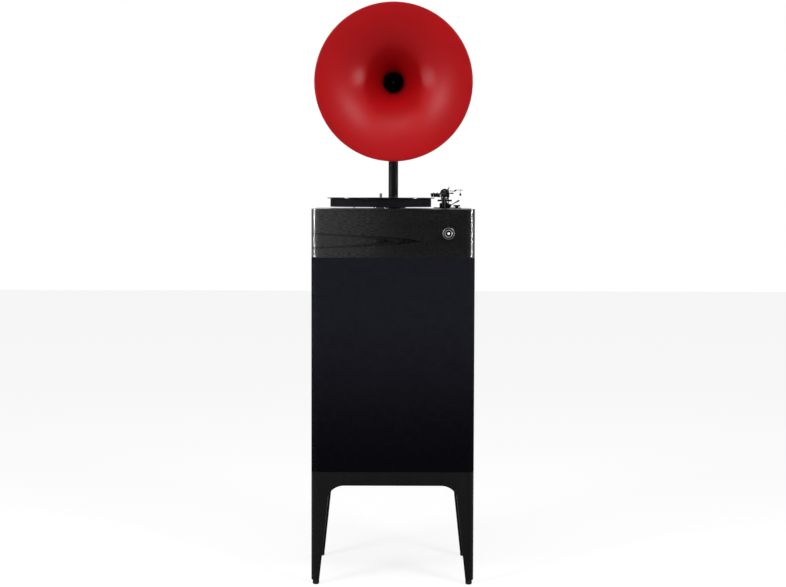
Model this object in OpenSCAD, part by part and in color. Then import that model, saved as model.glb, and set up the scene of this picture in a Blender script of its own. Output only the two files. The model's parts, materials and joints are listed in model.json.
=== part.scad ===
// Floor-standing turntable with a horn loudspeaker on a pole.
// Origin: on the floor, under the middle of the cabinet. +X to the right, +Y to the back, +Z up.

/* [Cabinet] */
// Width over the cabinet
body_w = 446; // [420:2:470]
// Depth over the cabinet
body_d = 400; // [380:2:430]
// Radius of the upright corners
corner_r = 24; // [12:1:30]
// Height of the cloth-covered loudspeaker box
cabinet_h = 587; // [540:1:620]
// Thickness of the cabinet boards
board_t = 18; // [12:1:20]
// Thickness of the cloth with its foam backing
cloth_t = 1.6; // [1:0.1:3]
// Width of the front post on each side of the baffle
post_w = 44; // [34:1:60]

/* [Stand] */
// Height of the stand, from the floor to the cabinet
stand_h = 312; // [280:1:340]
// Height of the aprons
apron_h = 37.5; // [28:0.5:50]
// Thickness of the aprons and of the legs' shoulders
apron_t = 22; // [16:1:28]
// Width of a leg where it meets the apron
shoulder_w = 90; // [80:1:110]
// Width of a leg below its shoulder
leg_top = 47; // [40:1:56]
// Width of a leg at its foot
leg_foot = 22; // [18:1:30]
// Radius of the shoulder's curve
shoulder_r = 48; // [44:1:54]
// Height of the glides
glide_h = 12; // [8:1:18]
// Diameter of the glides
glide_d = 18; // [14:1:22]

/* [Plinth] */
// Height of the plinth
plinth_h = 132; // [110:1:150]
// Thickness of the plinth boards
plinth_t = 16; // [12:1:20]
// Sideways place of the front knob
knob_x = 150; // [120:1:160]
// Height of the front knob above the cabinet
knob_z = 66; // [50:1:85]
// Diameter of the knob's bezel
bezel_d = 40; // [34:1:46]
// Diameter of the knob
knob_d = 32; // [26:1:33]
// How far the knob stands out of the bezel
knob_h = 13; // [8:1:18]

/* [Deck] */
// Sideways place of the platter's axis
platter_x = -35; // [-40:1:-32]
// Front-to-back place of the platter's axis
platter_y = -25; // [-30:1:-22]
// Diameter of the platter
platter_d = 283; // [270:1:286]
// Height of the platter's rim
platter_h = 23.3; // [18:0.1:26]
// Gap between the plinth and the platter
platter_gap = 4.5; // [4:0.1:7]
// Diameter of the disc on the platter
mat_d = 301; // [290:1:303]
// Thickness of the disc on the platter
mat_t = 3; // [2:0.5:5]
// Diameter of the record spindle
spindle_d = 7.2; // [7:0.05:7.3]
// Height of the record spindle above the disc
spindle_h = 11.5; // [9:0.5:15]
// Diameter of the bearing shaft
shaft_d = 10; // [8:0.5:14]
// Diameter of the bearing housing's flange
bearing_flange_d = 41; // [34:1:50]
// Depth of the bearing housing below the deck
bearing_depth = 62; // [45:1:75]
// Diameter of the drive hub under the platter
hub_d = 150; // [120:1:170]
// Diameter of the motor pulley
pulley_d = 16; // [12:0.5:20]
// Distance of the motor from the platter's axis
motor_reach = 108; // [100:1:112]
// Width of the drive belt
belt_w = 5; // [3:0.5:6]
// Thickness of the drive belt
belt_t = 1.2; // [0.8:0.1:2]

/* [Tonearm] */
// Sideways place of the arm's pivot
arm_x = 147; // [145:1:152]
// Front-to-back place of the arm's pivot
arm_y = 85; // [80:1:90]
// Height of the arm's axis above the deck
arm_z = 43; // [42.5:0.5:48]
// Distance from the pivot to the stylus
arm_reach = 230; // [220:1:236]
// Angle at which the arm is parked
park_yaw = 3; // [0:0.5:5]
// Angle between the headshell and the arm
head_offset = 24; // [18:1:26]
// Diameter of the arm tube
tube_d = 9; // [7:0.5:9]
// Width of the armboard
armboard_w = 76; // [74:1:80]
// Diameter of the arm's pillar
pillar_d = 28; // [26:1:30]
// Height of the pillar's barrel above the deck
pillar_h = 15.6; // [14:0.2:17]
// Diameter of the counterweight
weight_d = 26; // [22:1:27]
// Length of the counterweight
weight_l = 20; // [16:1:22]
// Distance of the counterweight behind the pivot
weight_reach = 33; // [31:1:40]
// Distance of the arm rest in front of the pivot
rest_reach = 74; // [66:1:80]

/* [Horn] */
// Diameter over the horn's rim
rim_d = 433; // [400:1:450]
// Radius of the horn's throat
throat_r = 28.6; // [24:0.2:32]
// Thickness of the horn's wall
horn_t = 2.4; // [1.6:0.1:4]
// Radius of the rolled rim
bead_r = 3.2; // [2.8:0.1:6]
// Height of the rim's centre above the deck
rim_z = 345.7; // [335:0.1:360]
// Front-to-back place of the rim's centre
rim_y = -155; // [-165:1:-145]
// Angle by which the horn looks down
horn_tilt = 3; // [0:0.5:8]
// Diameter of the pole
pole_d = 28; // [24:1:32]
// Front-to-back place of the pole
pole_y = 152; // [148:1:156]
// Radius of the pole's bend
bend_r = 60; // [50:1:70]
// Diameter of the pole's flange
flange_d = 72; // [60:1:74]
// Diameter of the driver housing
housing_d = 84; // [74:1:100]

/* [Hidden] */
$fn = 96;

// Clearance of a shaft that turns in its bore, on the radius
run_gap = 0.05;
// Clearance between curved faces that only pass each other
pass_gap = 0.3;

cabinet_z = stand_h;
deck_base = cabinet_z + cabinet_h;
deck_z = deck_base + plinth_h;
apron_z = stand_h - apron_h;
carcass_inset = cloth_t;
inner_inset = cloth_t + board_t;

// A plan with round corners, drawn in from the cabinet's outline
module plan(inset = 0) {
  w = body_w / 2 - inset;
  d = body_d / 2 - inset;
  r = max(corner_r - inset, 1);
  square([2 * w, 2 * (d - r)], center = true);
  square([2 * (w - r), 2 * d], center = true);
  for (sx = [-1, 1], sy = [-1, 1])
    translate([sx * (w - r), sy * (d - r)]) circle(r = r);
}

// A plate with round corners, centred, standing on z = 0
module rounded_plate(w, d, r, h) {
  linear_extrude(h) {
    square([w, d - 2 * r], center = true);
    square([w - 2 * r, d], center = true);
    for (sx = [-1, 1], sy = [-1, 1])
      translate([sx * (w / 2 - r), sy * (d / 2 - r)]) circle(r = r);
  }
}

// A cylinder that lies along Y, from y0 to y1
module rod_y(r, y0, y1) {
  translate([0, y0, 0]) rotate([-90, 0, 0]) cylinder(r = r, h = y1 - y0);
}

// A cylinder that lies along X, from x0 to x1
module rod_x(r, x0, x1) {
  translate([x0, 0, 0]) rotate([0, 90, 0]) cylinder(r = r, h = x1 - x0);
}

// A cylinder between two points
module rod_between(a, b, r) {
  v = b - a;
  turn = atan2(v[1], v[0]);
  lean = acos(v[2] / norm(v));
  translate(a) rotate([0, lean, turn]) cylinder(r = r, h = norm(v));
}

// Stand

// Draws an outline (sideways, up) as a solid that runs along Y
module along_y(len) {
  translate([0, len, 0]) rotate([90, 0, 0]) linear_extrude(len) children();
}

// Draws an outline (sideways, up) as a solid that runs along X
module along_x(len) {
  rotate([90, 0, 90]) linear_extrude(len) children();
}

// Places what is drawn from an outer corner inwards at one of the four corners
module at_corner(sx, sy) {
  translate([sx * body_w / 2, sy * body_d / 2, 0])
    rotate([0, 0, (sx < 0) ? ((sy < 0) ? 0 : -90) : ((sy < 0) ? 90 : 180)])
      children();
}

shoulder_drop = shoulder_r - sqrt(pow(shoulder_r, 2) - pow(shoulder_w - leg_top, 2));
shoulder_z = apron_z - shoulder_drop;

module leg_taper() {
  polygon([[0, glide_h], [leg_foot, glide_h], [leg_top, shoulder_z],
           [leg_top, stand_h], [0, stand_h]]);
}

module leg_shoulder() {
  difference() {
    translate([0, shoulder_z]) square([shoulder_w, stand_h - shoulder_z]);
    translate([shoulder_w, apron_z - shoulder_r]) circle(r = shoulder_r);
  }
}

// A square tapered leg whose two shoulders run into the aprons
module leg(sx, sy) {
  color("#1c1c1d") at_corner(sx, sy) intersection() {
    union() {
      intersection() {
        along_y(leg_top) leg_taper();
        along_x(leg_top) leg_taper();
      }
      along_y(apron_t) leg_shoulder();
      along_x(apron_t) leg_shoulder();
    }
    linear_extrude(stand_h) translate([shoulder_w, shoulder_w]) {
      translate([corner_r - shoulder_w, corner_r - shoulder_w]) circle(r = corner_r);
      translate([corner_r - shoulder_w, -shoulder_w]) square([2 * shoulder_w, 2 * shoulder_w]);
      translate([-shoulder_w, corner_r - shoulder_w]) square([2 * shoulder_w, 2 * shoulder_w]);
    }
  }
}

module leg_front_left() { leg(-1, -1); }
module leg_front_right() { leg(1, -1); }
module leg_rear_left() { leg(-1, 1); }
module leg_rear_right() { leg(1, 1); }

module cross_apron(sy) {
  len = body_w - 2 * shoulder_w;
  y = (sy < 0) ? -body_d / 2 : body_d / 2 - apron_t;
  color("#232324") translate([-len / 2, y, apron_z]) cube([len, apron_t, apron_h]);
}

module side_apron(sx) {
  len = body_d - 2 * shoulder_w;
  x = (sx < 0) ? -body_w / 2 : body_w / 2 - apron_t;
  color("#232324") translate([x, -len / 2, apron_z]) cube([apron_t, len, apron_h]);
}

module apron_front() { cross_apron(-1); }
module apron_rear() { cross_apron(1); }
module apron_left() { side_apron(-1); }
module apron_right() { side_apron(1); }

glide_in = glide_d / 2 + 4;
glide_round = 4;

module leg_glides() {
  r = glide_d / 2;
  color("#2a2a2b") for (sx = [-1, 1], sy = [-1, 1])
    at_corner(sx, sy) translate([glide_in, glide_in, 0]) rotate_extrude() {
      square([r - glide_round, glide_h]);
      translate([0, glide_round]) square([r, glide_h - glide_round]);
      intersection() {
        translate([r - glide_round, glide_round]) circle(r = glide_round);
        square([r, glide_h]);
      }
    }
}

brace_h = min(28, apron_h);
brace_near = shoulder_w + apron_t + 6;
brace_far = brace_near + 22;
brace_mid = (brace_near + brace_far) / 4;
bolt_d = 6;
bolt_head_d = 10;
bolt_head_h = 4;

module corner_braces() {
  color("#3a2f26") for (sx = [-1, 1], sy = [-1, 1]) at_corner(sx, sy)
    translate([0, 0, stand_h - brace_h]) difference() {
      linear_extrude(brace_h) polygon([
        [apron_t, brace_near - apron_t], [apron_t, brace_far - apron_t],
        [brace_far - apron_t, apron_t], [brace_near - apron_t, apron_t]]);
      translate([brace_mid, brace_mid, -1]) cylinder(d = bolt_d + 2 * pass_gap, h = brace_h + 2);
    }
}

bolt_grip = 14;

module stand_bolts() {
  color("#8d8f92") for (sx = [-1, 1], sy = [-1, 1]) at_corner(sx, sy)
    translate([brace_mid, brace_mid, stand_h - brace_h]) {
      cylinder(d = bolt_d, h = brace_h + min(bolt_grip, board_t - 2));
      translate([0, 0, -bolt_head_h]) difference() {
        cylinder(d = bolt_head_d, h = bolt_head_h);
        translate([0, 0, -1]) cylinder(d = bolt_d * 0.9, h = bolt_head_h * 0.75, $fn = 6);
      }
    }
}

// Loudspeaker cabinet

window_w = body_w - 2 * post_w;
window_margin = 30;
window_h = cabinet_h - 2 * (board_t + window_margin);
inner_w = body_w - 2 * inner_inset;
inner_d = body_d - 2 * inner_inset;
rear_panel_t = board_t * 2 / 3;
rear_lip = 14;

module cabinet_carcass() {
  color("#1d1d1e") translate([0, 0, cabinet_z]) difference() {
    linear_extrude(cabinet_h) plan(carcass_inset);
    translate([-inner_w / 2, -inner_d / 2, board_t])
      cube([inner_w, inner_d, cabinet_h - 2 * board_t]);
    translate([-window_w / 2, -body_d / 2, board_t + window_margin])
      cube([window_w, inner_inset + 1, window_h]);
    translate([-window_w / 2, body_d / 2 - carcass_inset - rear_panel_t, board_t + window_margin])
      cube([window_w, rear_panel_t + 1, window_h]);
    translate([-window_w / 2 + rear_lip, inner_d / 2 - 1, board_t + window_margin + rear_lip])
      cube([window_w - 2 * rear_lip, board_t + 2, window_h - 2 * rear_lip]);
    for (sx = [-1, 1], sy = [-1, 1])
      translate([sx * (body_w / 2 - brace_mid), sy * (body_d / 2 - brace_mid), -1])
        cylinder(d = bolt_d + 2 * run_gap, h = 1 + min(bolt_grip, board_t - 2) + pass_gap);
  }
}

woofer_r = 92;
woofer_z = 235;
driver_r = 38;
driver_z = 440;
driver_x = 78;
port_r = 27;
port_z = 88;
port_wall = 3;
frame_lip = 12;
frame_t = 4;

baffle_front = -inner_d / 2;

// Places children at the front of the baffle, with their local Z pointing to the front
module on_baffle(x, z) {
  translate([x, baffle_front, cabinet_z + z]) rotate([90, 0, 0]) children();
}

module baffle_board() {
  fit = 0.5;
  color("#5a4632") difference() {
    translate([-inner_w / 2 + fit, baffle_front, cabinet_z + board_t])
      cube([inner_w - 2 * fit, board_t, cabinet_h - 2 * board_t]);
    on_baffle(0, woofer_z) translate([0, 0, -board_t - 1]) cylinder(r = woofer_r, h = board_t + 2);
    on_baffle(0, port_z) translate([0, 0, -board_t - 1])
      cylinder(r = port_r + port_wall, h = board_t + 2);
    for (s = [-1, 1]) on_baffle(s * driver_x, driver_z)
      translate([0, 0, -board_t - 1]) cylinder(r = driver_r, h = board_t + 2);
  }
}

// The cloth wraps the front and both sides, and ends before the rear corners
module grille_cloth() {
  color("#14141b") translate([0, 0, cabinet_z]) linear_extrude(cabinet_h) difference() {
    plan(0);
    plan(carcass_inset);
    translate([-body_w, body_d / 2 - corner_r]) square([2 * body_w, corner_r + 1]);
  }
}

basket_depth = 58;
basket_t = 3;
basket_seat = 8;
basket_window = 36;
coil_r = 20;
magnet_r = 55;
magnet_h = 34;
vent_r = 14;
vent_h = 9;

module woofer_basket() {
  color("#26272a") on_baffle(0, woofer_z) difference() {
    rotate_extrude() polygon([
      [woofer_r - basket_seat, frame_t], [woofer_r + frame_lip, frame_t], [woofer_r + frame_lip, 0],
      [woofer_r - 1, 0], [woofer_r - 1, -board_t], [magnet_r, -basket_depth],
      [coil_r, -basket_depth], [coil_r, -basket_depth + basket_t],
      [magnet_r - 2, -basket_depth + basket_t], [woofer_r - 1 - basket_t, -board_t],
      [woofer_r - basket_seat, 0]]);
    for (a = [0 : 60 : 300]) rotate([0, 0, a])
      translate([2 * coil_r, -basket_window / 2, -basket_depth + 2 * basket_t])
        cube([woofer_r, basket_window, basket_depth - board_t - 2 * basket_t - frame_t]);
  }
}

cone_r = woofer_r - 18;
cone_t = 4;
cone_depth = 26;
cap_r = 25;
roll_r = 5;
roll_t = 1.4;

// The cone with its flat cap, and the half-round roll that holds its edge
module woofer_cone() {
  color("#18181a") on_baffle(0, woofer_z) rotate_extrude() {
    polygon([
      [0, -cone_depth - 2 * cone_t], [cap_r + 1, -cone_depth - 2 * cone_t],
      [cap_r + 1, -cone_depth - cone_t], [cone_r, 1 - cone_t], [cone_r, 0], [cone_r - cone_t, 0],
      [cap_r, -cone_depth], [0, -cone_depth]]);
    translate([cone_r + roll_r, -0.5]) intersection() {
      difference() {
        circle(r = roll_r);
        circle(r = roll_r - roll_t);
      }
      translate([-roll_r - 1, 0]) square([2 * roll_r + 2, roll_r + 1]);
    }
    translate([cone_r - 2, -2]) square([3, 2.5]);
  }
}

module woofer_magnet() {
  color("#6c6e70") on_baffle(0, woofer_z)
    translate([0, 0, -basket_depth - magnet_h]) difference() {
      cylinder(r = magnet_r, h = magnet_h);
      translate([0, 0, -1]) cylinder(r = vent_r, h = vent_h + 1);
    }
}

dome_r = 14;
dome_depth = 12;
flare_r = 34;
unit_lip = 8;
unit_can_r = 24;
unit_can_l = 20;

module tweeters() {
  can_z = -board_t - frame_t;
  color("#1f2022") for (s = [-1, 1]) on_baffle(s * driver_x, driver_z) {
    rotate_extrude() polygon([
      [0, 1], [dome_r, 1], [dome_r, -dome_depth], [flare_r, 1], [flare_r, frame_t],
      [driver_r + unit_lip, frame_t], [driver_r + unit_lip, 0], [driver_r - 1, 0],
      [driver_r - 1, -unit_lip], [unit_can_r, can_z], [unit_can_r, can_z - unit_can_l],
      [0, can_z - unit_can_l]]);
  }
}

port_len = 130;

module bass_port() {
  color("#1b1b1c") on_baffle(0, port_z) translate([0, 0, -port_len]) difference() {
    union() {
      cylinder(r = port_r + port_wall - pass_gap, h = port_len);
      translate([0, 0, port_len]) cylinder(r = port_r + port_wall + unit_lip, h = frame_t);
    }
    translate([0, 0, -1]) cylinder(r = port_r, h = port_len + frame_t + 2);
  }
}

pcb_t = 1.6;
pcb_foot_r = 4;
pcb_edge = 10;
crossover_y = 60;
crossover_w = 140;
crossover_d = 96;
crossover_lift = 6;
choke_r = 20;
choke_h = 18;
choke_bore_r = 9;
film_r = 9;
film_h = 30;

// Stands a board of the given size on four feet
module board_on_feet(w, d, lift) {
  for (sx = [-1, 1], sy = [-1, 1])
    translate([sx * (w / 2 - pcb_edge), sy * (d / 2 - pcb_edge), 0]) cylinder(r = pcb_foot_r, h = lift);
  translate([-w / 2, -d / 2, lift]) cube([w, d, pcb_t]);
}

module crossover_board() {
  color("#2f5d3a") translate([0, crossover_y, cabinet_z + board_t]) {
    board_on_feet(crossover_w, crossover_d, crossover_lift);
    translate([-crossover_w / 2 + pcb_edge, 0, crossover_lift + pcb_t]) {
      for (i = [0, 1]) translate([choke_r + (2 * choke_r + 5) * i, 0, 0]) difference() {
        cylinder(r = choke_r, h = choke_h);
        translate([0, 0, -1]) cylinder(r = choke_bore_r, h = choke_h + 2);
      }
      for (i = [-1 : 1]) translate([4 * choke_r + 3 * film_r + 1, (2 * film_r + 6) * i, 0])
        cylinder(r = film_r, h = film_h);
    }
  }
}

screw_r = 2;
screw_head_r = 4;
screw_rows = 4;
rear_fit = 0.5;

module at_rear_screws() {
  w = window_w / 2 - rear_lip / 2;
  h = window_h / 2 - rear_lip / 2;
  translate([0, body_d / 2 - carcass_inset, cabinet_z + cabinet_h / 2])
    for (sx = [-1, 1], i = [0 : screw_rows - 1])
      translate([sx * w, 0, -h + 2 * h * i / (screw_rows - 1)])
        rotate([-90, 0, 0]) children();
}

module rear_panel() {
  color("#202022") difference() {
    translate([-window_w / 2 + rear_fit, body_d / 2 - carcass_inset - rear_panel_t,
               cabinet_z + board_t + window_margin + rear_fit])
      cube([window_w - 2 * rear_fit, rear_panel_t, window_h - 2 * rear_fit]);
    at_rear_screws() translate([0, 0, -rear_panel_t - 1])
      cylinder(r = screw_r + pass_gap, h = rear_panel_t + 2);
  }
}

module rear_screws() {
  color("#3b3b3d") at_rear_screws() {
    translate([0, 0, -rear_panel_t]) cylinder(r = screw_r, h = rear_panel_t);
    difference() {
      cylinder(r1 = screw_head_r, r2 = screw_head_r * 0.7, h = 2.2);
      for (a = [0, 90]) rotate([0, 0, a]) translate([-2.4, -0.4, 1.2]) cube([4.8, 0.8, 2]);
    }
  }
}

// Plinth

cleat_w = 12;
top_fit = 0.4;
pot_bush_r = 5;
pot_shaft_r = 3;
plinth_in_w = body_w - 2 * plinth_t;
plinth_in_d = body_d - 2 * plinth_t;
plate_w = 190;
plate_h = 54;
plate_t = 2;
plate_z = 62;

// Places children at the front knob, with their local Z pointing to the front
module at_knob() {
  translate([knob_x, -body_d / 2, deck_base + knob_z]) rotate([90, 0, 0]) children();
}

// Places children on the back of the plinth, with X to the right as seen from behind
module at_plate() {
  translate([0, body_d / 2, deck_base + plate_z]) rotate([90, 0, 180]) children();
}

module plinth_frame() {
  color("#1f1f20") difference() {
    translate([0, 0, deck_base]) {
      linear_extrude(plinth_h) difference() {
        plan(0);
        square([plinth_in_w, plinth_in_d], center = true);
      }
      translate([0, 0, plinth_h - 2 * plinth_t]) linear_extrude(plinth_t) difference() {
        square([plinth_in_w, plinth_in_d], center = true);
        square([plinth_in_w - 2 * cleat_w, plinth_in_d - 2 * cleat_w], center = true);
      }
    }
    at_knob() translate([0, 0, -plinth_t - 1]) cylinder(r = pot_bush_r + 0.1, h = plinth_t + 2);
    at_plate() translate([-plate_w / 2 + 12, -plate_h / 2 + 8, -plinth_t - 1])
      cube([plate_w - 24, plate_h - 16, plinth_t + 2]);
  }
}

pole_wire_r = 7;
motor_hole_r = 7;
lift_hole_r = 3;
speed_hole_r = 4;
arm_wire_r = 5;
bearing_tube_r = shaft_d / 2 + 7;

module plinth_top() {
  color("#1b1b1c") difference() {
    translate([-plinth_in_w / 2 + top_fit, -plinth_in_d / 2 + top_fit, deck_z - plinth_t])
      cube([plinth_in_w - 2 * top_fit, plinth_in_d - 2 * top_fit, plinth_t]);
    translate([0, 0, deck_z - plinth_t - 1]) {
      translate([platter_x, platter_y]) cylinder(r = bearing_tube_r + 0.1, h = plinth_t + 2);
      translate(motor_xy) cylinder(r = motor_hole_r, h = plinth_t + 2);
      translate([0, pole_y]) cylinder(r = pole_wire_r, h = plinth_t + 2);
      translate([arm_x, arm_y]) {
        cylinder(r = arm_wire_r, h = plinth_t + 2);
        translate([0, -lift_reach]) cylinder(r = lift_hole_r, h = plinth_t + 2);
        translate([speed_x, speed_y]) cylinder(r = speed_hole_r, h = plinth_t + 2);
      }
    }
  }
}

bezel_h = 4;
bezel_floor = 1;
knob_gap = 0.5;

module knob_bezel() {
  r = bezel_d / 2;
  edge = 1.5;
  color("#101011") at_knob() difference() {
    rotate_extrude() {
      square([r - edge, bezel_h]);
      square([r, bezel_h - edge]);
      intersection() {
        translate([r - edge, bezel_h - edge]) circle(r = edge);
        square([r, bezel_h]);
      }
    }
    translate([0, 0, bezel_floor]) cylinder(r = knob_d / 2 + knob_gap, h = bezel_h);
    translate([0, 0, -1]) cylinder(r = pot_bush_r + 0.1, h = bezel_h);
  }
}

pot_body = 24;
pot_depth = 12;

module volume_pot() {
  color("#77787a") at_knob() difference() {
    union() {
      translate([-pot_body / 2, -pot_body / 2, -plinth_t - pot_depth])
        cube([pot_body, pot_body, pot_depth]);
      translate([0, 0, -plinth_t]) cylinder(r = pot_bush_r, h = plinth_t + bezel_floor);
    }
    translate([0, 0, -plinth_t - pot_depth + 2])
      cylinder(r = pot_shaft_r + run_gap, h = plinth_t + pot_depth);
  }
}

knob_groove = 0.8;
knob_ring_r = 11.7;
knob_dot_r = 3;

module volume_knob() {
  r = knob_d / 2;
  top = bezel_h + knob_h;
  edge = 2.4;
  color("#1a1a1b") at_knob() {
    rotate_extrude() {
      difference() {
        union() {
          translate([0, bezel_floor + pass_gap]) square([r - edge, top - bezel_floor - pass_gap]);
          translate([0, bezel_floor + pass_gap]) square([r, top - edge - bezel_floor - pass_gap]);
          intersection() {
            translate([r - edge, top - edge]) circle(r = edge);
            square([r, top]);
          }
        }
        translate([knob_dot_r, top - knob_groove])
          square([knob_ring_r - 0.8 - knob_dot_r, 2]);
        translate([knob_ring_r + 0.8, top - knob_groove]) square([0.9, 2]);
      }
    }
    translate([0, 0, -plinth_t - pot_depth + 2 + pass_gap])
      cylinder(r = pot_shaft_r, h = plinth_t + pot_depth - 1);
  }
}

jack_x = -72;
jack_step = 20;
jack_r = 5;
jack_l = 8;
jack_bore_r = 1.6;
ground_x = 14;
ground_r = 4;
switch_x = 22;
switch_w = 22;
switch_h = 18;
switch_depth = 8;
inlet_x = 56;
inlet_w = 26;
inlet_h = 24;
inlet_depth = 16;
inlet_wall = 4;
plate_screw_r = 1.7;
plate_screw_in = 6;

// Sockets, mains inlet and switch on a plate at the back of the plinth
module connector_plate() {
  color("#2c2d2f") at_plate() difference() {
    union() {
      rounded_plate(plate_w, plate_h, 4, plate_t);
      for (i = [0 : 3]) translate([jack_x + jack_step * i, 0, plate_t]) {
        cylinder(r = jack_r + 2, h = 1.5);
        cylinder(r = jack_r - 0.8, h = jack_l);
      }
      translate([ground_x, 0, plate_t]) cylinder(r = ground_r, h = jack_l - 1);
      translate([switch_x, -switch_h / 2, -switch_depth]) cube([switch_w, switch_h, switch_depth]);
      translate([inlet_x, -inlet_h / 2, -inlet_depth]) cube([inlet_w, inlet_h, inlet_depth]);
    }
    for (i = [0 : 3])
      translate([jack_x + jack_step * i, 0, -1]) cylinder(r = jack_bore_r, h = plate_t + jack_l + 2);
    translate([switch_x + 3, -switch_h / 2 + 2.5, plate_t - 1.5])
      cube([switch_w - 6, switch_h - 5, plate_t]);
    translate([inlet_x + inlet_wall, -inlet_h / 2 + inlet_wall, -inlet_depth + inlet_wall])
      cube([inlet_w - 2 * inlet_wall, inlet_h - 2 * inlet_wall, inlet_depth]);
    for (sx = [-1, 1], sy = [-1, 1])
      translate([sx * (plate_w / 2 - plate_screw_in), sy * (plate_h / 2 - plate_screw_in), -1])
        cylinder(r = plate_screw_r, h = plate_t + 2);
  }
}

amp_x = 90;
amp_y = -116;
amp_w = 150;
amp_d = 96;
amp_lift = 8;
sink_l = 67;
sink_d = 20;
sink_h = 24;
sink_base = 4;
fin_t = 3;
fins = 9;
can_cap_r = 6;
can_cap_h = 20;

module amplifier_board() {
  color("#23573a") translate([amp_x, amp_y, deck_base]) {
    board_on_feet(amp_w, amp_d, amp_lift);
    translate([-amp_w / 2 + pcb_edge, sink_d, amp_lift + pcb_t]) {
      cube([sink_l, sink_d, sink_base]);
      for (i = [0 : fins - 1]) translate([i * (sink_l - fin_t) / (fins - 1), 0, 0])
        cube([fin_t, sink_d, sink_h]);
    }
    for (i = [0 : 3]) translate([sink_d + (2 * can_cap_r + 2) * i, -pcb_edge, amp_lift + pcb_t])
      cylinder(r = can_cap_r, h = can_cap_h);
  }
}

core_x = 110;
core_y = 70;
core_r = 42;
core_bore_r = 14;
core_h = 38;
core_soft = 10;

// A ring-core transformer with its winding's round edges
module power_transformer() {
  color("#b08d3a") translate([core_x, core_y, deck_base]) difference() {
    rotate_extrude() {
      translate([core_bore_r, core_soft]) square([core_r - core_bore_r, core_h - 2 * core_soft]);
      translate([core_bore_r + core_soft, 0]) square([core_r - core_bore_r - 2 * core_soft, core_h]);
      for (x = [core_bore_r + core_soft, core_r - core_soft], y = [core_soft, core_h - core_soft])
        translate([x, y]) circle(r = core_soft);
    }
    cylinder(r = core_bore_r, h = 3 * core_h, center = true);
  }
}

// Deck

motor_turn = 135;
motor_xy = [platter_x + motor_reach * cos(motor_turn), platter_y + motor_reach * sin(motor_turn)];
fixed_gap = 0.02;
shaft_r = shaft_d / 2;
platter_top = platter_gap + platter_h;
mat_top = platter_top + mat_t;
platter_wall = 8.5;
web_t = 7.8;
web_z = platter_top - web_t;
flange_top = platter_gap - 0.6;
hub_lift = flange_top + pass_gap;
bearing_floor = 4;
hub_rim = 9;
hub_web = 4;
spindle_tip = 2;

// Places children on the deck at the platter's axis
module at_platter() {
  translate([platter_x, platter_y, deck_z]) children();
}

module bearing_housing() {
  color("#8f9194") at_platter() rotate_extrude() polygon([
    [shaft_r + run_gap, flange_top], [bearing_flange_d / 2, flange_top],
    [bearing_flange_d / 2, 0], [bearing_tube_r, 0], [bearing_tube_r, -bearing_depth],
    [0, -bearing_depth], [0, -bearing_depth + bearing_floor],
    [shaft_r + run_gap, -bearing_depth + bearing_floor]]);
}

module spindle() {
  pin_r = spindle_d / 2;
  foot = -bearing_depth + bearing_floor + pass_gap;
  color("#c9cacc") at_platter() {
    translate([0, 0, foot]) cylinder(r = shaft_r, h = mat_top - foot);
    translate([0, 0, mat_top]) rotate_extrude() {
      square([pin_r, spindle_h - spindle_tip]);
      square([pin_r - spindle_tip, spindle_h]);
      intersection() {
        translate([pin_r - spindle_tip, spindle_h - spindle_tip]) circle(r = spindle_tip);
        square([pin_r, spindle_h]);
      }
    }
  }
}

module drive_hub() {
  bore = shaft_r + fixed_gap;
  color("#2d2d30") at_platter() rotate_extrude() polygon([
    [bore, hub_lift], [bearing_flange_d / 2, hub_lift], [bearing_flange_d / 2, web_z - hub_web],
    [hub_d / 2 - 3, web_z - hub_web], [hub_d / 2 - 3, web_z - hub_rim],
    [hub_d / 2, web_z - hub_rim], [hub_d / 2, web_z], [bore, web_z]]);
}

module platter() {
  r = platter_d / 2;
  edge = 1;
  color("#17171a") at_platter() rotate_extrude() polygon([
    [shaft_r + fixed_gap, web_z], [r - platter_wall, web_z], [r - platter_wall, platter_gap],
    [r - edge, platter_gap], [r, platter_gap + edge], [r, platter_top - edge],
    [r - edge, platter_top], [shaft_r + fixed_gap, platter_top]]);
}

label_r = 50;
label_drop = 0.4;

module platter_mat() {
  r = mat_d / 2;
  edge = min(mat_t / 2, 1);
  color("#2b2b2e") at_platter() translate([0, 0, platter_top]) rotate_extrude() difference() {
    union() {
      square([r - edge, mat_t]);
      translate([0, edge]) square([r, mat_t - 2 * edge]);
      for (y = [edge, mat_t - edge]) translate([r - edge, y]) circle(r = edge);
    }
    translate([0, -1]) square([shaft_r + 0.1, mat_t + 2]);
    translate([0, mat_t - label_drop]) square([label_r, label_drop + 1]);
  }
}

belt_z = web_z - hub_rim / 2 - 0.7;

module belt_loop(r_gap) {
  hull() {
    circle(r = hub_d / 2 + r_gap);
    translate([motor_xy[0] - platter_x, motor_xy[1] - platter_y]) circle(r = pulley_d / 2 + r_gap);
  }
}

module drive_belt() {
  color("#111111") at_platter() translate([0, 0, belt_z - belt_w / 2]) linear_extrude(belt_w)
    difference() {
      belt_loop(pass_gap + belt_t);
      belt_loop(pass_gap);
    }
}

motor_r = 18;
motor_len = 42;
motor_shaft_r = 1.5;
motor_bush_r = 5;

module motor() {
  color("#8b8d90") translate([motor_xy[0], motor_xy[1], deck_z - plinth_t]) difference() {
    union() {
      translate([0, 0, -2]) rounded_plate(2 * motor_r + 18, 2 * motor_r + 8, 6, 2);
      translate([0, 0, -motor_len]) cylinder(r = motor_r, h = motor_len - 2);
      cylinder(r = motor_bush_r, h = plinth_t - 3);
    }
    translate([0, 0, -motor_len + 3]) cylinder(r = motor_shaft_r + run_gap, h = motor_len + plinth_t);
  }
}

pulley_lip = 2;
pulley_h = belt_w + 2 * pulley_lip;

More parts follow.
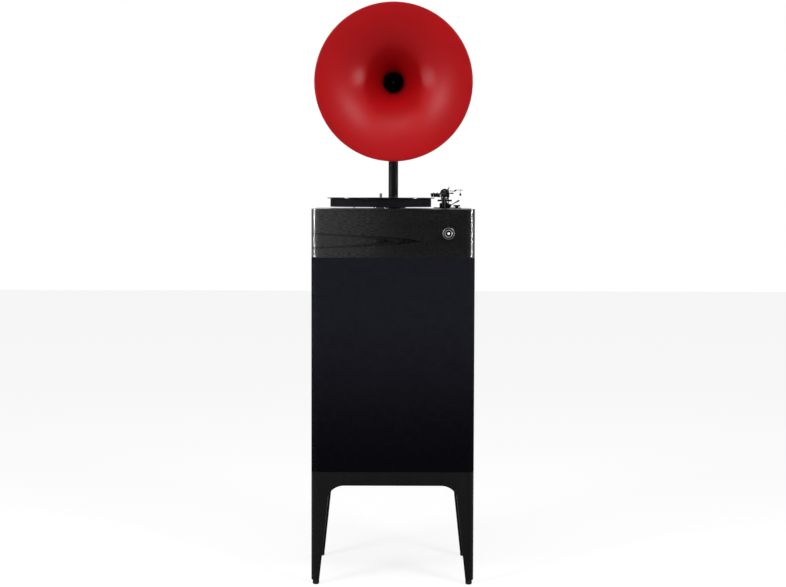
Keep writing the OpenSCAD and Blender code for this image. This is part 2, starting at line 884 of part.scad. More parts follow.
module motor_pulley() {
  r = pulley_d / 2;
  color("#c7a24a") translate([motor_xy[0], motor_xy[1], deck_z]) {
    translate([0, 0, -plinth_t - motor_len + 3 + pass_gap])
      cylinder(r = motor_shaft_r, h = plinth_t + motor_len - 3 + belt_z);
    translate([0, 0, belt_z - pulley_h / 2]) rotate_extrude() polygon([
      [0, 0], [r + 2, 0], [r + 2, 1], [r, pulley_lip], [r, pulley_h - pulley_lip],
      [r + 2, pulley_h - 1], [r + 2, pulley_h], [0, pulley_h]]);
  }
}

// Tonearm

board_h = 2.3;
board_front = rest_reach + 11;
board_back = 50;
board_left = 30;
lift_reach = 32;
speed_x = 33.5;
speed_y = -60;
speed_shaft_r = 3;

// Places children on the deck at the arm's pivot
module at_pivot() {
  translate([arm_x, arm_y, deck_z]) children();
}

// Places children at the arm's axis: -Y runs out to the headshell
module at_arm() {
  translate([arm_x, arm_y, deck_z + arm_z]) rotate([0, 0, -park_yaw]) children();
}

module armboard() {
  color("#161617") at_pivot() difference() {
    translate([armboard_w / 2 - board_left, (board_back - board_front) / 2, 0])
      rounded_plate(armboard_w, board_front + board_back, 8, board_h);
    translate([0, 0, -1]) cylinder(r = arm_wire_r, h = board_h + 2);
    translate([0, -lift_reach, -1]) cylinder(r = lift_hole_r, h = board_h + 2);
    translate([speed_x, speed_y, -1]) cylinder(r = speed_shaft_r + run_gap, h = board_h + 2);
    for (x = [-board_left + 6, armboard_w - board_left - 6], y = [-board_front + 6, board_back - 6])
      translate([x, y, board_h - 1]) cylinder(r = 2.2, h = 2);
  }
}

speed_cap_r = 9.6;
speed_cap_z = 5.3;
speed_cap_h = 4.5;

module speed_knob() {
  edge = 1.6;
  stem_z = board_h + pass_gap;
  color("#18181a") at_pivot() translate([speed_x, speed_y, 0]) {
    translate([0, 0, -plinth_t - 4]) cylinder(r = speed_shaft_r, h = plinth_t + 4 + stem_z);
    translate([0, 0, stem_z]) cylinder(r = 4.5, h = speed_cap_z - stem_z);
    translate([0, 0, speed_cap_z]) difference() {
      rotate_extrude() {
        square([speed_cap_r - edge, speed_cap_h]);
        square([speed_cap_r, speed_cap_h - edge]);
        intersection() {
          translate([speed_cap_r - edge, speed_cap_h - edge]) circle(r = edge);
          square([speed_cap_r, speed_cap_h]);
        }
      }
      translate([-0.4, 3, speed_cap_h - 0.5]) cube([0.8, 6, 1]);
    }
  }
}

stem_r = 4;
neck_r = 6.5;
neck_top = 24.7;
stage_r = 8;
stage_top = 18.8;
stem_floor = 8;

module arm_pillar() {
  r = pillar_d / 2;
  color("#151516") at_pivot() rotate_extrude() polygon([
    [stem_r + run_gap, neck_top], [neck_r, neck_top], [neck_r, stage_top], [stage_r, stage_top],
    [stage_r, pillar_h + 0.8], [r - 2.6, pillar_h], [r, pillar_h - 2.2], [r, board_h],
    [0, board_h], [0, stem_floor], [stem_r + run_gap, stem_floor]]);
}

lift_post_r = 2;
lift_bar_z = 19.6;
lift_bar_h = 4.9;
lift_bar_w = 4;
lift_bar_turn = 37;
tower_w = 14;
tower_d = 12;
tower_h = 17;
lever_x = 14.5;
lever_z = 8;
lever_shaft_r = 2;
lever_rise = 29;

module lift_tower() {
  color("#1d1d1f") at_pivot() translate([0, -lift_reach, 0]) difference() {
    union() {
      translate([-tower_w / 2, -tower_d / 2, board_h]) cube([tower_w, tower_d, tower_h - board_h]);
      translate([0, -tower_d / 2, board_h]) cube([lever_x, tower_d, lever_z - board_h]);
      translate([lever_x, 0, lever_z]) rod_y(lever_z - board_h - 1, -tower_d / 2, tower_d / 2);
      translate([tower_w / 2 - 1, -tower_d / 2, lever_z - 1])
        cube([lever_x - tower_w / 2 + 1, tower_d, lever_z - board_h]);
    }
    cylinder(r = lift_post_r + run_gap, h = tower_h + 1);
    translate([lever_x, 0, lever_z])
      rod_y(lever_shaft_r + run_gap, -tower_d / 2 - 1, tower_d / 2 + 1);
  }
}

lift_travel = arm_z - tube_d / 2 - lift_bar_z - lift_bar_h - 0.5;
lift_post_l = tower_h + lift_travel + 0.5;

// An arc-shaped bar on a post, which raises the arm tube
module lift_platform() {
  color("#141415") at_pivot() {
    translate([0, -lift_reach, tower_h - lift_post_l])
      cylinder(r = lift_post_r, h = lift_bar_z - tower_h + lift_post_l);
    translate([0, 0, lift_bar_z]) rotate([0, 0, -90 - lift_bar_turn])
      rotate_extrude(angle = 2 * lift_bar_turn)
        translate([lift_reach - lift_bar_w / 2, 0]) square([lift_bar_w, lift_bar_h]);
  }
}

lever_rod_l = 17;
lever_grip_l = 12;

module cue_lever() {
  front = -tower_d / 2 - pass_gap;
  color("#161617") at_pivot() translate([lever_x, -lift_reach, lever_z]) {
    rod_y(lever_shaft_r, front - 5, tower_d / 2);
    rod_y(3.6, front - 5, front);
    translate([0, front - 2.5, 0]) rotate([0, 90 - lever_rise, 0]) {
      cylinder(r = 1.2, h = lever_rod_l);
      translate([0, 0, lever_rod_l]) cylinder(r1 = 1.7, r2 = 2.25, h = lever_grip_l);
      translate([0, 0, lever_rod_l + lever_grip_l]) sphere(r = 2.25);
    }
  }
}

cheek_in = 7.4;
cheek_t = 2.8;
cheek_d = 12;
yoke_base_r = 10;
yoke_base_z = neck_top + pass_gap;
yoke_base_h = 4.5;
pin_r = 1.5;
stub_from = 17;
stub_to = 26;

module arm_yoke() {
  color("#1a1a1c") at_arm() translate([0, 0, -arm_z]) {
    translate([0, 0, stem_floor + pass_gap]) cylinder(r = stem_r, h = yoke_base_z - stem_floor);
    translate([0, 0, yoke_base_z]) cylinder(r = yoke_base_r, h = yoke_base_h);
    for (s = [-1, 1]) translate([s * (cheek_in + cheek_t / 2), 0, yoke_base_z + yoke_base_h - 2])
      intersection() {
        translate([-cheek_t / 2, -cheek_d / 2, 0]) cube([cheek_t, cheek_d, arm_z - yoke_base_z + 3]);
        union() {
          translate([0, 0, arm_z - yoke_base_z - yoke_base_h + 2]) rod_x(cheek_d / 2, -cheek_t, cheek_t);
          translate([-cheek_t, -cheek_d / 2, 0])
            cube([2 * cheek_t, cheek_d, arm_z - yoke_base_z - yoke_base_h + 2]);
        }
      }
    translate([0, 0, arm_z]) {
      rod_x(pin_r, -cheek_in - 1, cheek_in + 1);
      rod_x(1, cheek_in + 1, stub_from);
      rod_x(2, stub_from, stub_to);
    }
  }
}

block_w = 2 * (cheek_in - pass_gap);
block_d = 15;
block_h = 13;
rear_stub_r = 4;
rear_stub_l = weight_reach + weight_l / 2 + 8;
collar_at = 176;
collar_l = 9;
tube_wall = 1;

module arm_tube() {
  color("#1b1b1e") at_arm() difference() {
    union() {
      translate([-block_w / 2, -block_d / 2, -block_h / 2]) cube([block_w, block_d, block_h]);
      rod_y(tube_d / 2, -collar_at, -block_d / 2);
      rod_y(tube_d / 2 + 0.7, -collar_at, -collar_at + collar_l);
      rod_y(tube_d / 2 + 1, -block_d / 2 - 5, -block_d / 2);
      rod_y(rear_stub_r, block_d / 2, rear_stub_l);
      translate([0, rear_stub_l, 0]) rod_y(rear_stub_r + 0.8, 0, 2);
    }
    rod_x(pin_r + run_gap, -block_w, block_w);
    rod_y(tube_d / 2 - tube_wall, -collar_at - 1, -block_d / 2 - 6);
  }
}

// How far the headshell reaches past the collar for the stylus to lie at the arm's reach
head_side = collar_at * cos(head_offset);
stylus_at = sqrt(pow(head_side, 2) + pow(arm_reach, 2) - pow(collar_at, 2)) - head_side;
shell_w = 16;
shell_t = 2.5;
shell_l = stylus_at + 5;
shell_from = 6;
cart_w = 16;
cart_l = 25;
cart_top = -shell_t;
stylus_z = mat_top + 0.6 - arm_z;
cart_bottom = stylus_z + 1.2;
lift_finger = 14;
chin_l = 3;
chin_h = 2;

// Places children at the collar, turned along the headshell
module at_head() {
  at_arm() translate([0, -collar_at, 0]) rotate([0, 0, -head_offset]) children();
}

module headshell() {
  color("#c4c5c8") {
    at_arm() difference() {
      rod_y(tube_d / 2 - tube_wall - fixed_gap, -collar_at - 4, -collar_at + 6);
      rod_y(1.5, -collar_at - 6, -collar_at + 7);
    }
    at_head() difference() {
      union() {
        translate([-shell_w / 2, -shell_l, -shell_t]) cube([shell_w, shell_l - shell_from, shell_t]);
        translate([-3, -shell_from - 8, -shell_t]) cube([6, 12, shell_t + 2]);
        translate([shell_w / 2 - 1, -shell_l + 9, -shell_t]) {
          cube([lift_finger, 4, 1.2]);
          translate([lift_finger, 2, 0]) cylinder(r = 2, h = 1.2);
        }
      }
      for (s = [-1, 1]) {
        translate([s * 5 - 1.3, -shell_l + 8, -shell_t - 1]) cube([2.6, 16, shell_t + 2]);
        translate([s * 5, -shell_l + 8, -shell_t - 1]) cylinder(r = 1.3, h = shell_t + 2);
        translate([s * 5, -shell_l + 24, -shell_t - 1]) cylinder(r = 1.3, h = shell_t + 2);
      }
    }
  }
}

module cartridge() {
  front = -stylus_at - 3;
  color("#1c1c20") at_head() {
    difference() {
      translate([-cart_w / 2, front, cart_bottom]) cube([cart_w, cart_l, cart_top - cart_bottom]);
      translate([-cart_w / 2 - 1, front - 1, cart_bottom - 1])
        cube([cart_w + 2, chin_l + 1, chin_h + 1]);
    }
    for (s = [-5, 5]) translate([s, -shell_l + 14, cart_top]) {
      cylinder(r = 1.1, h = shell_t + 1);
      translate([0, 0, shell_t]) cylinder(r = 2.1, h = 1.6);
    }
    translate([0, -stylus_at + 6, cart_bottom - 0.1]) rod_between([0, 0, 0.6], [0, -6, -0.5], 0.4);
    translate([0, -stylus_at, stylus_z]) cylinder(r1 = 0.1, r2 = 0.4, h = 1.2);
  }
}

module counterweight() {
  r = weight_d / 2;
  front = weight_reach - weight_l / 2;
  color("#202124") at_arm() difference() {
    union() {
      rod_y(r - 1.2, front, front + weight_l);
      rod_y(r, front + 1.2, front + weight_l - 1.2);
      rod_y(rear_stub_r + 5, front - 4, front);
    }
    rod_y(rear_stub_r + run_gap, front - 5, front + weight_l + 1);
    translate([0, front + weight_l - 1.5, 0]) difference() {
      rod_y(r - 3.4, 0, 3);
      rod_y(r - 5, -1, 4);
    }
    for (y = [6 : 3 : weight_l - 5]) translate([0, front + y, 0]) difference() {
      rod_y(r + 1, 0, 1);
      rod_y(r - 0.6, -1, 2);
    }
  }
}

skate_x = 10.5;
skate_y = -22;
skate_post_top = 59;
skate_grip_z = 31;
skate_grip_h = 14;
skate_bar_z = 49.5;
skate_clamp_x = 30;
wire_r = 0.5;

// The upright and its side rod, which carry the thread of the anti-skating weight
module antiskate_bracket() {
  bar_end = skate_clamp_x - 4;
  color("#191a1c") at_pivot() translate([skate_x, skate_y, 0]) {
    translate([0, 0, board_h]) cylinder(r = 3.2, h = 3);
    translate([0, 0, board_h]) cylinder(r = 1.5, h = skate_grip_z - board_h);
    translate([0, 0, skate_grip_z]) cylinder(r = 3.2, h = skate_grip_h);
    translate([0, 0, skate_grip_z + skate_grip_h])
      cylinder(r = 1, h = skate_post_top - skate_grip_z - skate_grip_h);
    translate([0, 0, skate_bar_z]) {
      sphere(r = 1.7);
      rod_x(0.9, 0, bar_end - skate_x + 1);
      rod_between([bar_end - skate_x, 0, -1.5], [bar_end - skate_x + 7.5, 0, 3], 1.9);
      translate([0, 0, 2.6]) rod_x(0.7, bar_end - skate_x + 6, bar_end - skate_x + 27);
    }
  }
}

hang_x = 45;
hang_drop = 9;
ring_r = 1.6;
weight_ball_r = 3;

// A small weight that hangs by a wire loop from the side rod
module antiskate_weight() {
  z = skate_bar_z + 2.6;
  color("#1b1b1d") at_pivot() translate([hang_x, skate_y, z]) {
    rotate([90, 0, 90]) rotate_extrude($fn = 32)
      translate([ring_r, 0]) circle(r = wire_r, $fn = 16);
    translate([0, 0, -hang_drop]) cylinder(r = wire_r, h = hang_drop - ring_r);
    translate([0, 0, -hang_drop - 7]) cylinder(r1 = weight_ball_r, r2 = weight_ball_r - 0.8, h = 7);
  }
}

rest_post_r = 4;
rest_floor = -tube_d / 2 - pass_gap;
rest_wall_x = tube_d / 2 + 0.7;
rest_wall_w = 3.8;
rest_w = 8.6;
clip_x = rest_wall_x + rest_wall_w / 2;
clip_z = 7;
clip_pin_r = 1;
clip_from = 52;
clip_to = 165;
clip_open = 150;
clip_t = 1.4;
clip_w = 6;
knuckle_r = 2.1;

module arm_rest() {
  ear_t = (rest_w - clip_w) / 2 - pass_gap;
  color("#1a1a1b") at_arm() translate([0, -rest_reach, 0]) {
    translate([0, 0, board_h - arm_z]) cylinder(r = rest_post_r + 2.5, h = 2);
    translate([0, 0, board_h - arm_z]) cylinder(r = rest_post_r, h = arm_z - board_h + rest_floor - 3);
    translate([-6, -rest_w / 2, rest_floor - 4]) cube([6 + rest_wall_x + rest_wall_w, rest_w, 4]);
    translate([rest_wall_x, -rest_w / 2, rest_floor - 1])
      cube([rest_wall_w, rest_w, clip_z - knuckle_r - 0.6 - rest_floor + 1]);
    for (s = [-1, 1]) translate([clip_x, s * (rest_w - ear_t) / 2, 0]) {
      translate([-rest_wall_w / 2, -ear_t / 2, 0]) cube([rest_wall_w, ear_t, clip_z]);
      translate([0, 0, clip_z]) rod_y(rest_wall_w / 2, -ear_t / 2, ear_t / 2);
    }
    translate([clip_x, 0, clip_z]) rod_y(clip_pin_r, -rest_w / 2, rest_w / 2);
  }
}

// The clip's outline when it is closed over the tube, which is centred on the origin
module clip_outline() {
  r_in = tube_d / 2 + pass_gap;
  r_out = r_in + clip_t;
  difference() {
    circle(r = r_out);
    circle(r = r_in);
    rotate([0, 0, clip_to]) translate([-2 * r_out, 0]) square([4 * r_out, 2 * r_out]);
    rotate([0, 0, clip_from]) translate([-2 * r_out, -2 * r_out]) square([4 * r_out, 2 * r_out]);
  }
  difference() {
    translate([clip_x, clip_z]) rotate([0, 0, 202]) translate([0, -1.5]) square([5, 2.4]);
    circle(r = r_in);
    translate([clip_x, clip_z]) circle(r = clip_pin_r + run_gap);
  }
}

// Stored open, swung back about its pin, clear of the tube when the arm rises
module rest_clip() {
  color("#222224") at_arm() translate([clip_x, -rest_reach, clip_z])
    rotate([0, clip_open, 0]) translate([-clip_x, clip_w / 2, -clip_z])
      rotate([90, 0, 0]) linear_extrude(clip_w) {
        clip_outline();
        translate([clip_x, clip_z]) difference() {
          circle(r = knuckle_r);
          circle(r = clip_pin_r + run_gap);
        }
      }
}

// Horn

flange_h = 5;
socket_r = 20;
socket_h = 20;
pole_r = pole_d / 2;
rim_height = deck_z + rim_z;
bell_r = rim_d / 2 - bead_r;
bell_l = bell_r - throat_r;
housing_l = 46;
housing_r = housing_d / 2;
housing_wall = 4;
bend_y = pole_y - bend_r;
neck_end = (bend_y - bend_r * sin(horn_tilt) - rim_y) / cos(horn_tilt);
bend_z = rim_height + neck_end * sin(horn_tilt) - bend_r * cos(horn_tilt);
neck_in = 8;
bend_lip = 0.5;

// Places children on the horn's axis: Z runs back from the middle of the rim
module at_horn() {
  translate([0, rim_y, rim_height]) rotate([horn_tilt - 90, 0, 0]) children();
}

module pole_socket() {
  color("#161617") translate([0, pole_y, deck_z]) difference() {
    rotate_extrude() polygon([
      [pole_r + fixed_gap, 0], [flange_d / 2, 0], [flange_d / 2, flange_h - 1.5],
      [flange_d / 2 - 1.5, flange_h], [socket_r + 2, flange_h], [socket_r, flange_h + 2],
      [socket_r, socket_h - 1.5], [socket_r - 1.5, socket_h], [pole_r + fixed_gap, socket_h]]);
    for (a = [45 : 90 : 315]) rotate([0, 0, a]) translate([(socket_r + flange_d / 2) / 2 + 0.5, 0, 0]) {
      translate([0, 0, -1]) cylinder(r = 2.2, h = flange_h + 2);
      translate([0, 0, flange_h - 2]) cylinder(r = 4, h = 3);
    }
  }
}

// A straight pole, a bend that is a little thicker than the pole, and a short neck
module horn_pole() {
  color("#141416") {
    translate([0, pole_y, deck_z]) cylinder(r = pole_r, h = bend_z - deck_z);
    translate([0, bend_y, bend_z]) rotate([90, 0, 90]) rotate_extrude(angle = 90 + horn_tilt)
      translate([bend_r, 0]) circle(r = pole_r + bend_lip);
    at_horn() translate([0, 0, bell_l + housing_l - neck_in])
      cylinder(r = pole_r, h = neck_end - bell_l - housing_l + neck_in);
  }
}

module driver_housing() {
  soft = 6;
  color("#18181a") at_horn() translate([0, 0, bell_l]) rotate_extrude() difference() {
    union() {
      square([housing_r - soft, housing_l]);
      square([housing_r, housing_l - soft]);
      intersection() {
        translate([housing_r - soft, housing_l - soft]) circle(r = soft);
        square([housing_r, housing_l]);
      }
      translate([0, housing_l]) square([pole_r + 4, 5]);
    }
    translate([0, -1]) square([housing_r - housing_wall, housing_l - neck_in - 3 + 1]);
    square([pole_r + fixed_gap, housing_l + 6]);
  }
}

can_r = throat_r + 4;
mouth_r = 22.5;
driver_l = housing_l - neck_in - 4;
plate_step = 6;

module horn_driver() {
  r = housing_r - housing_wall - 0.4;
  color("#101012") at_horn() translate([0, 0, bell_l]) rotate_extrude() polygon([
    [0, plate_step], [mouth_r, plate_step], [mouth_r, -10], [mouth_r + 2, -12],
    [throat_r - pass_gap, -12], [throat_r - pass_gap, 0], [r, 0], [r, plate_step],
    [can_r, plate_step + 4], [can_r, driver_l], [0, driver_l]]);
}

plug_r = 7;
plug_l = 20;

module phase_plug() {
  color("#2b2c2f") at_horn() translate([0, 0, bell_l + plate_step - plug_l]) {
    translate([0, 0, plug_r]) sphere(r = plug_r);
    translate([0, 0, plug_r]) cylinder(r1 = plug_r, r2 = plug_r + 4, h = plug_l - plug_r);
  }
}

// The bell follows a quarter circle from the throat to the rolled rim
module horn_bell() {
  lip = 4;
  seat_r = housing_r - 1;
  color("#a8121c") at_horn() rotate_extrude($fn = 144) {
    intersection() {
      translate([bell_r, bell_l]) difference() {
        circle(r = bell_l);
        circle(r = bell_l - horn_t);
      }
      square([bell_r, bell_l]);
    }
    translate([bell_r, bead_r]) circle(r = bead_r);
    translate([throat_r, bell_l - lip]) square([seat_r - throat_r, lip]);
  }
}

leg_front_left();
leg_front_right();
leg_rear_left();
leg_rear_right();
apron_front();
apron_rear();
apron_left();
apron_right();
leg_glides();
corner_braces();
stand_bolts();
cabinet_carcass();
baffle_board();
grille_cloth();
woofer_basket();
woofer_cone();
woofer_magnet();
tweeters();
bass_port();
crossover_board();
rear_panel();
connector_plate();
rear_screws();
plinth_frame();
plinth_top();
knob_bezel();
volume_pot();
volume_knob();
amplifier_board();
power_transformer();
bearing_housing();
spindle();
drive_hub();
platter();
platter_mat();
drive_belt();
motor();
motor_pulley();
armboard();
speed_knob();
arm_pillar();
lift_tower();
lift_platform();
cue_lever();
arm_yoke();
arm_tube();
headshell();
cartridge();
counterweight();
antiskate_bracket();
antiskate_weight();
arm_rest();
rest_clip();
pole_socket();
horn_pole();
driver_housing();
horn_driver();
phase_plug();
horn_bell();
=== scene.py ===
"""The finish and the fine parts of a floor-standing turntable with a horn."""
import json
import math

import bmesh
import bpy
from mathutils import Matrix, Vector


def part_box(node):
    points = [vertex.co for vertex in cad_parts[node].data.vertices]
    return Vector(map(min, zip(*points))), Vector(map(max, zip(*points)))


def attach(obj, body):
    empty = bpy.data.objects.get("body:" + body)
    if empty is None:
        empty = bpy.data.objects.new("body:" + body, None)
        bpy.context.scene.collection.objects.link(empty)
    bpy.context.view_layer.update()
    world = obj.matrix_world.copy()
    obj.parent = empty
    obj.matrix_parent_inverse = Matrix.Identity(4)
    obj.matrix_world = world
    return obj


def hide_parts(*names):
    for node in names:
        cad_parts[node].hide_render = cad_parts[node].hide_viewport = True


bl_info = {
    "name": "Horn turntable",
    "version": (1, 0, 0),
    "blender": (4, 5, 0),
    "location": "View3D > Sidebar > Turntable",
    "description": "Dresses the turntable's frame with its finishes and fine parts",
    "category": "Object",
}

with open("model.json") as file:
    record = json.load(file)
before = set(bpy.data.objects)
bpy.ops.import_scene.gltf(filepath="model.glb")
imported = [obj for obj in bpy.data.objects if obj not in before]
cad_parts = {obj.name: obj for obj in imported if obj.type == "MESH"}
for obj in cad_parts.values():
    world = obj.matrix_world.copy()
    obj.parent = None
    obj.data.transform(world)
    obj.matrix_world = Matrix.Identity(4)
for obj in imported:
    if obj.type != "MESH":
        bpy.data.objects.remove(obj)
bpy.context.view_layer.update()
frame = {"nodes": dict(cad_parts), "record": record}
MM = 0.001

# Levels and places that the fine parts share, in metres
PLINTH_LOW, PLINTH_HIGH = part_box("plinth_frame")
CABINET_LOW, CABINET_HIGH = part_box("grille_cloth")
BELL_LOW, BELL_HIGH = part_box("horn_bell")
KNOB_LOW, KNOB_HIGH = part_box("volume_knob")
DECK = PLINTH_HIGH.z
KNOB_AXIS = (KNOB_LOW + KNOB_HIGH) / 2
CORNER = 24 * MM

# The tonearm: its tilt axis, how far it is turned in when parked, and its parts along the tube
ARM_PIVOT = Vector((147 * MM, 85 * MM, DECK + 43 * MM))
ARM_YAW = math.radians(3)
HEAD_OFFSET = math.radians(24)
COLLAR_AT = 176 * MM
COLLAR_RADIUS = 5.2 * MM
CHEEK_OUT = 10.2 * MM
WEIGHT_FRONT = 19 * MM
BOARD_TOP = DECK + 2.3 * MM

# The horn: its lean, the middle of its rim, the rolled bead, the throat and the arc between them
HORN_TILT = math.radians(3)
RIM_RADIUS = (BELL_HIGH.x - BELL_LOW.x) / 2
RIM_CENTRE = Vector((0, -155 * MM, DECK + 345.7 * MM))
BEAD = 3.2 * MM
THROAT = 28.6 * MM
BELL_ARC = RIM_RADIUS - BEAD - THROAT
BELL_WALL = 2.4 * MM

# The pole that carries the horn: where it stands on the deck
POLE_FOOT = Vector((0, 152 * MM, DECK + 3 * MM))

# The camera that took the photograph, worked out from the stand's legs and the deck
CAMERA_BACK = 4.674
CAMERA_HEIGHT = 1.0753
CAMERA_PITCH = math.radians(3.35)
CAMERA_ROLL = math.radians(0.15)
CAMERA_LENS = 78.9
SENSOR = 36

# Where the veneer's year rings run: the level of their tips, how fast they close, the step between the two
# and where they end along the front
FLAME_LEVEL = PLINTH_LOW.z + 45 * MM
FLAME_BEND = 1.6 * MM
FLAME_STEP = 60 * MM
FLAME_TIP = PLINTH_LOW.y + 48 * MM

# How bright the studio behind the camera and the floor look in reflections, where the backdrop is 1
DIM_SIDE = 0.04
FLOOR_GLOW = 0.8

# How far the floor reaches to each side, in metres
FLOOR_SIZE = 14

# The lamps: name, place, what they point at, width and height, share of the lamp power, spread in degrees.
# The strips stand low at both sides and draw the bright lines down the plinth's corners
HORN_AIM = (0, -0.1, 1.2)
PLINTH_AIM = (0, -0.2, 0.95)
LAMPS = (
    ("left_strip", (-2.75, -0.66, 0.94), PLINTH_AIM, (0.16, 0.35), 0.026, 26),
    ("right_strip", (2.75, -0.66, 0.94), PLINTH_AIM, (0.16, 0.35), 0.026, 26),
    ("left_softbox", (-2.1, -2.3, 2.15), HORN_AIM, (0.9, 1.2), 0.95, 180),
    ("right_softbox", (1.9, -2.5, 2.65), HORN_AIM, (0.9, 1.2), 0.95, 180),
    ("top_softbox", (-0.2, -1.6, 3.7), HORN_AIM, (2.0, 1.2), 0.45, 180),
)


def linear(colour):
    """A colour written as sRGB hex, in the linear values that nodes take."""
    parts = [int(colour[i:i + 2], 16) / 255 for i in (1, 3, 5)]
    return tuple(p / 12.92 if p <= 0.04045 else ((p + 0.055) / 1.055) ** 2.4 for p in parts) + (1.0,)


def add(tree, kind, inputs=None, **settings):
    """Adds a node with its settings, and sets or links its inputs."""
    node = tree.nodes.new(kind)
    for name, value in settings.items():
        setattr(node, name, value)
    for name, value in (inputs or {}).items():
        if isinstance(value, bpy.types.NodeSocket):
            tree.links.new(value, node.inputs[name])
        else:
            node.inputs[name].default_value = value
    return node


def new_material(name, **inputs):
    """A material with one Principled shader, and its tree and shader to build on."""
    material = bpy.data.materials.new(name)
    material.use_nodes = True
    tree = material.node_tree
    tree.nodes.clear()
    shader = add(tree, "ShaderNodeBsdfPrincipled", {k.replace("_", " "): v for k, v in inputs.items()})
    add(tree, "ShaderNodeOutputMaterial", {"Surface": shader.outputs[0]})
    return material, tree, shader


def grain_vector(tree, kind):
    """Coordinates in metres, X along the grain: from left to right on a board that lies, up one that stands
    upright, and round the corners on veneer that goes around."""
    place = add(tree, "ShaderNodeTexCoord").outputs["Object"]
    split = add(tree, "ShaderNodeSeparateXYZ", {0: place})
    x, y, z = split.outputs
    if kind == "lying":
        return add(tree, "ShaderNodeCombineXYZ", {0: x, 1: y, 2: z}).outputs[0]
    level = add(tree, "ShaderNodeMath", {0: x, 1: y}, operation="ADD").outputs[0]
    if kind == "upright":
        return add(tree, "ShaderNodeCombineXYZ", {0: z, 1: level, 2: y}).outputs[0]
    return add(tree, "ShaderNodeCombineXYZ", {0: level, 1: z, 2: y}).outputs[0]


def flame(tree, along):
    """A pair of dark year rings, where a flat-sawn veneer cuts them: nested curves that close to the right.
    0 on a ring, 1 away from both."""
    split = add(tree, "ShaderNodeSeparateXYZ", {0: along})
    rise = add(tree, "ShaderNodeMath", {0: split.outputs["Y"], 1: FLAME_LEVEL}, operation="SUBTRACT")
    square = add(tree, "ShaderNodeMath", {0: rise.outputs[0], 1: 2.0}, operation="POWER")
    swept = add(tree, "ShaderNodeMath", {0: square.outputs[0], 1: 1 / FLAME_BEND, 2: split.outputs["X"]},
                operation="MULTIPLY_ADD")
    loose = add(tree, "ShaderNodeMapping", {"Vector": along, "Scale": (9, 60, 60)}).outputs[0]
    wander = add(tree, "ShaderNodeTexNoise", {"Vector": loose, "Scale": 1.0, "Detail": 3.0})
    bent = add(tree, "ShaderNodeMath", {0: wander.outputs[0], 1: 70 * MM, 2: swept.outputs[0]},
               operation="MULTIPLY_ADD")
    beyond = add(tree, "ShaderNodeMath", {0: bent.outputs[0], 1: FLAME_TIP}, operation="SUBTRACT")
    off_pair = add(tree, "ShaderNodeMath", {0: beyond.outputs[0]}, operation="ABSOLUTE")
    off_one = add(tree, "ShaderNodeMath", {0: off_pair.outputs[0], 1: FLAME_STEP / 2}, operation="SUBTRACT")
    off_line = add(tree, "ShaderNodeMath", {0: off_one.outputs[0]}, operation="ABSOLUTE")
    return add(tree, "ShaderNodeMapRange", {"Value": off_line.outputs[0], "From Min": FLAME_STEP * 0.15,
                                            "From Max": FLAME_STEP * 0.5}).outputs[0]


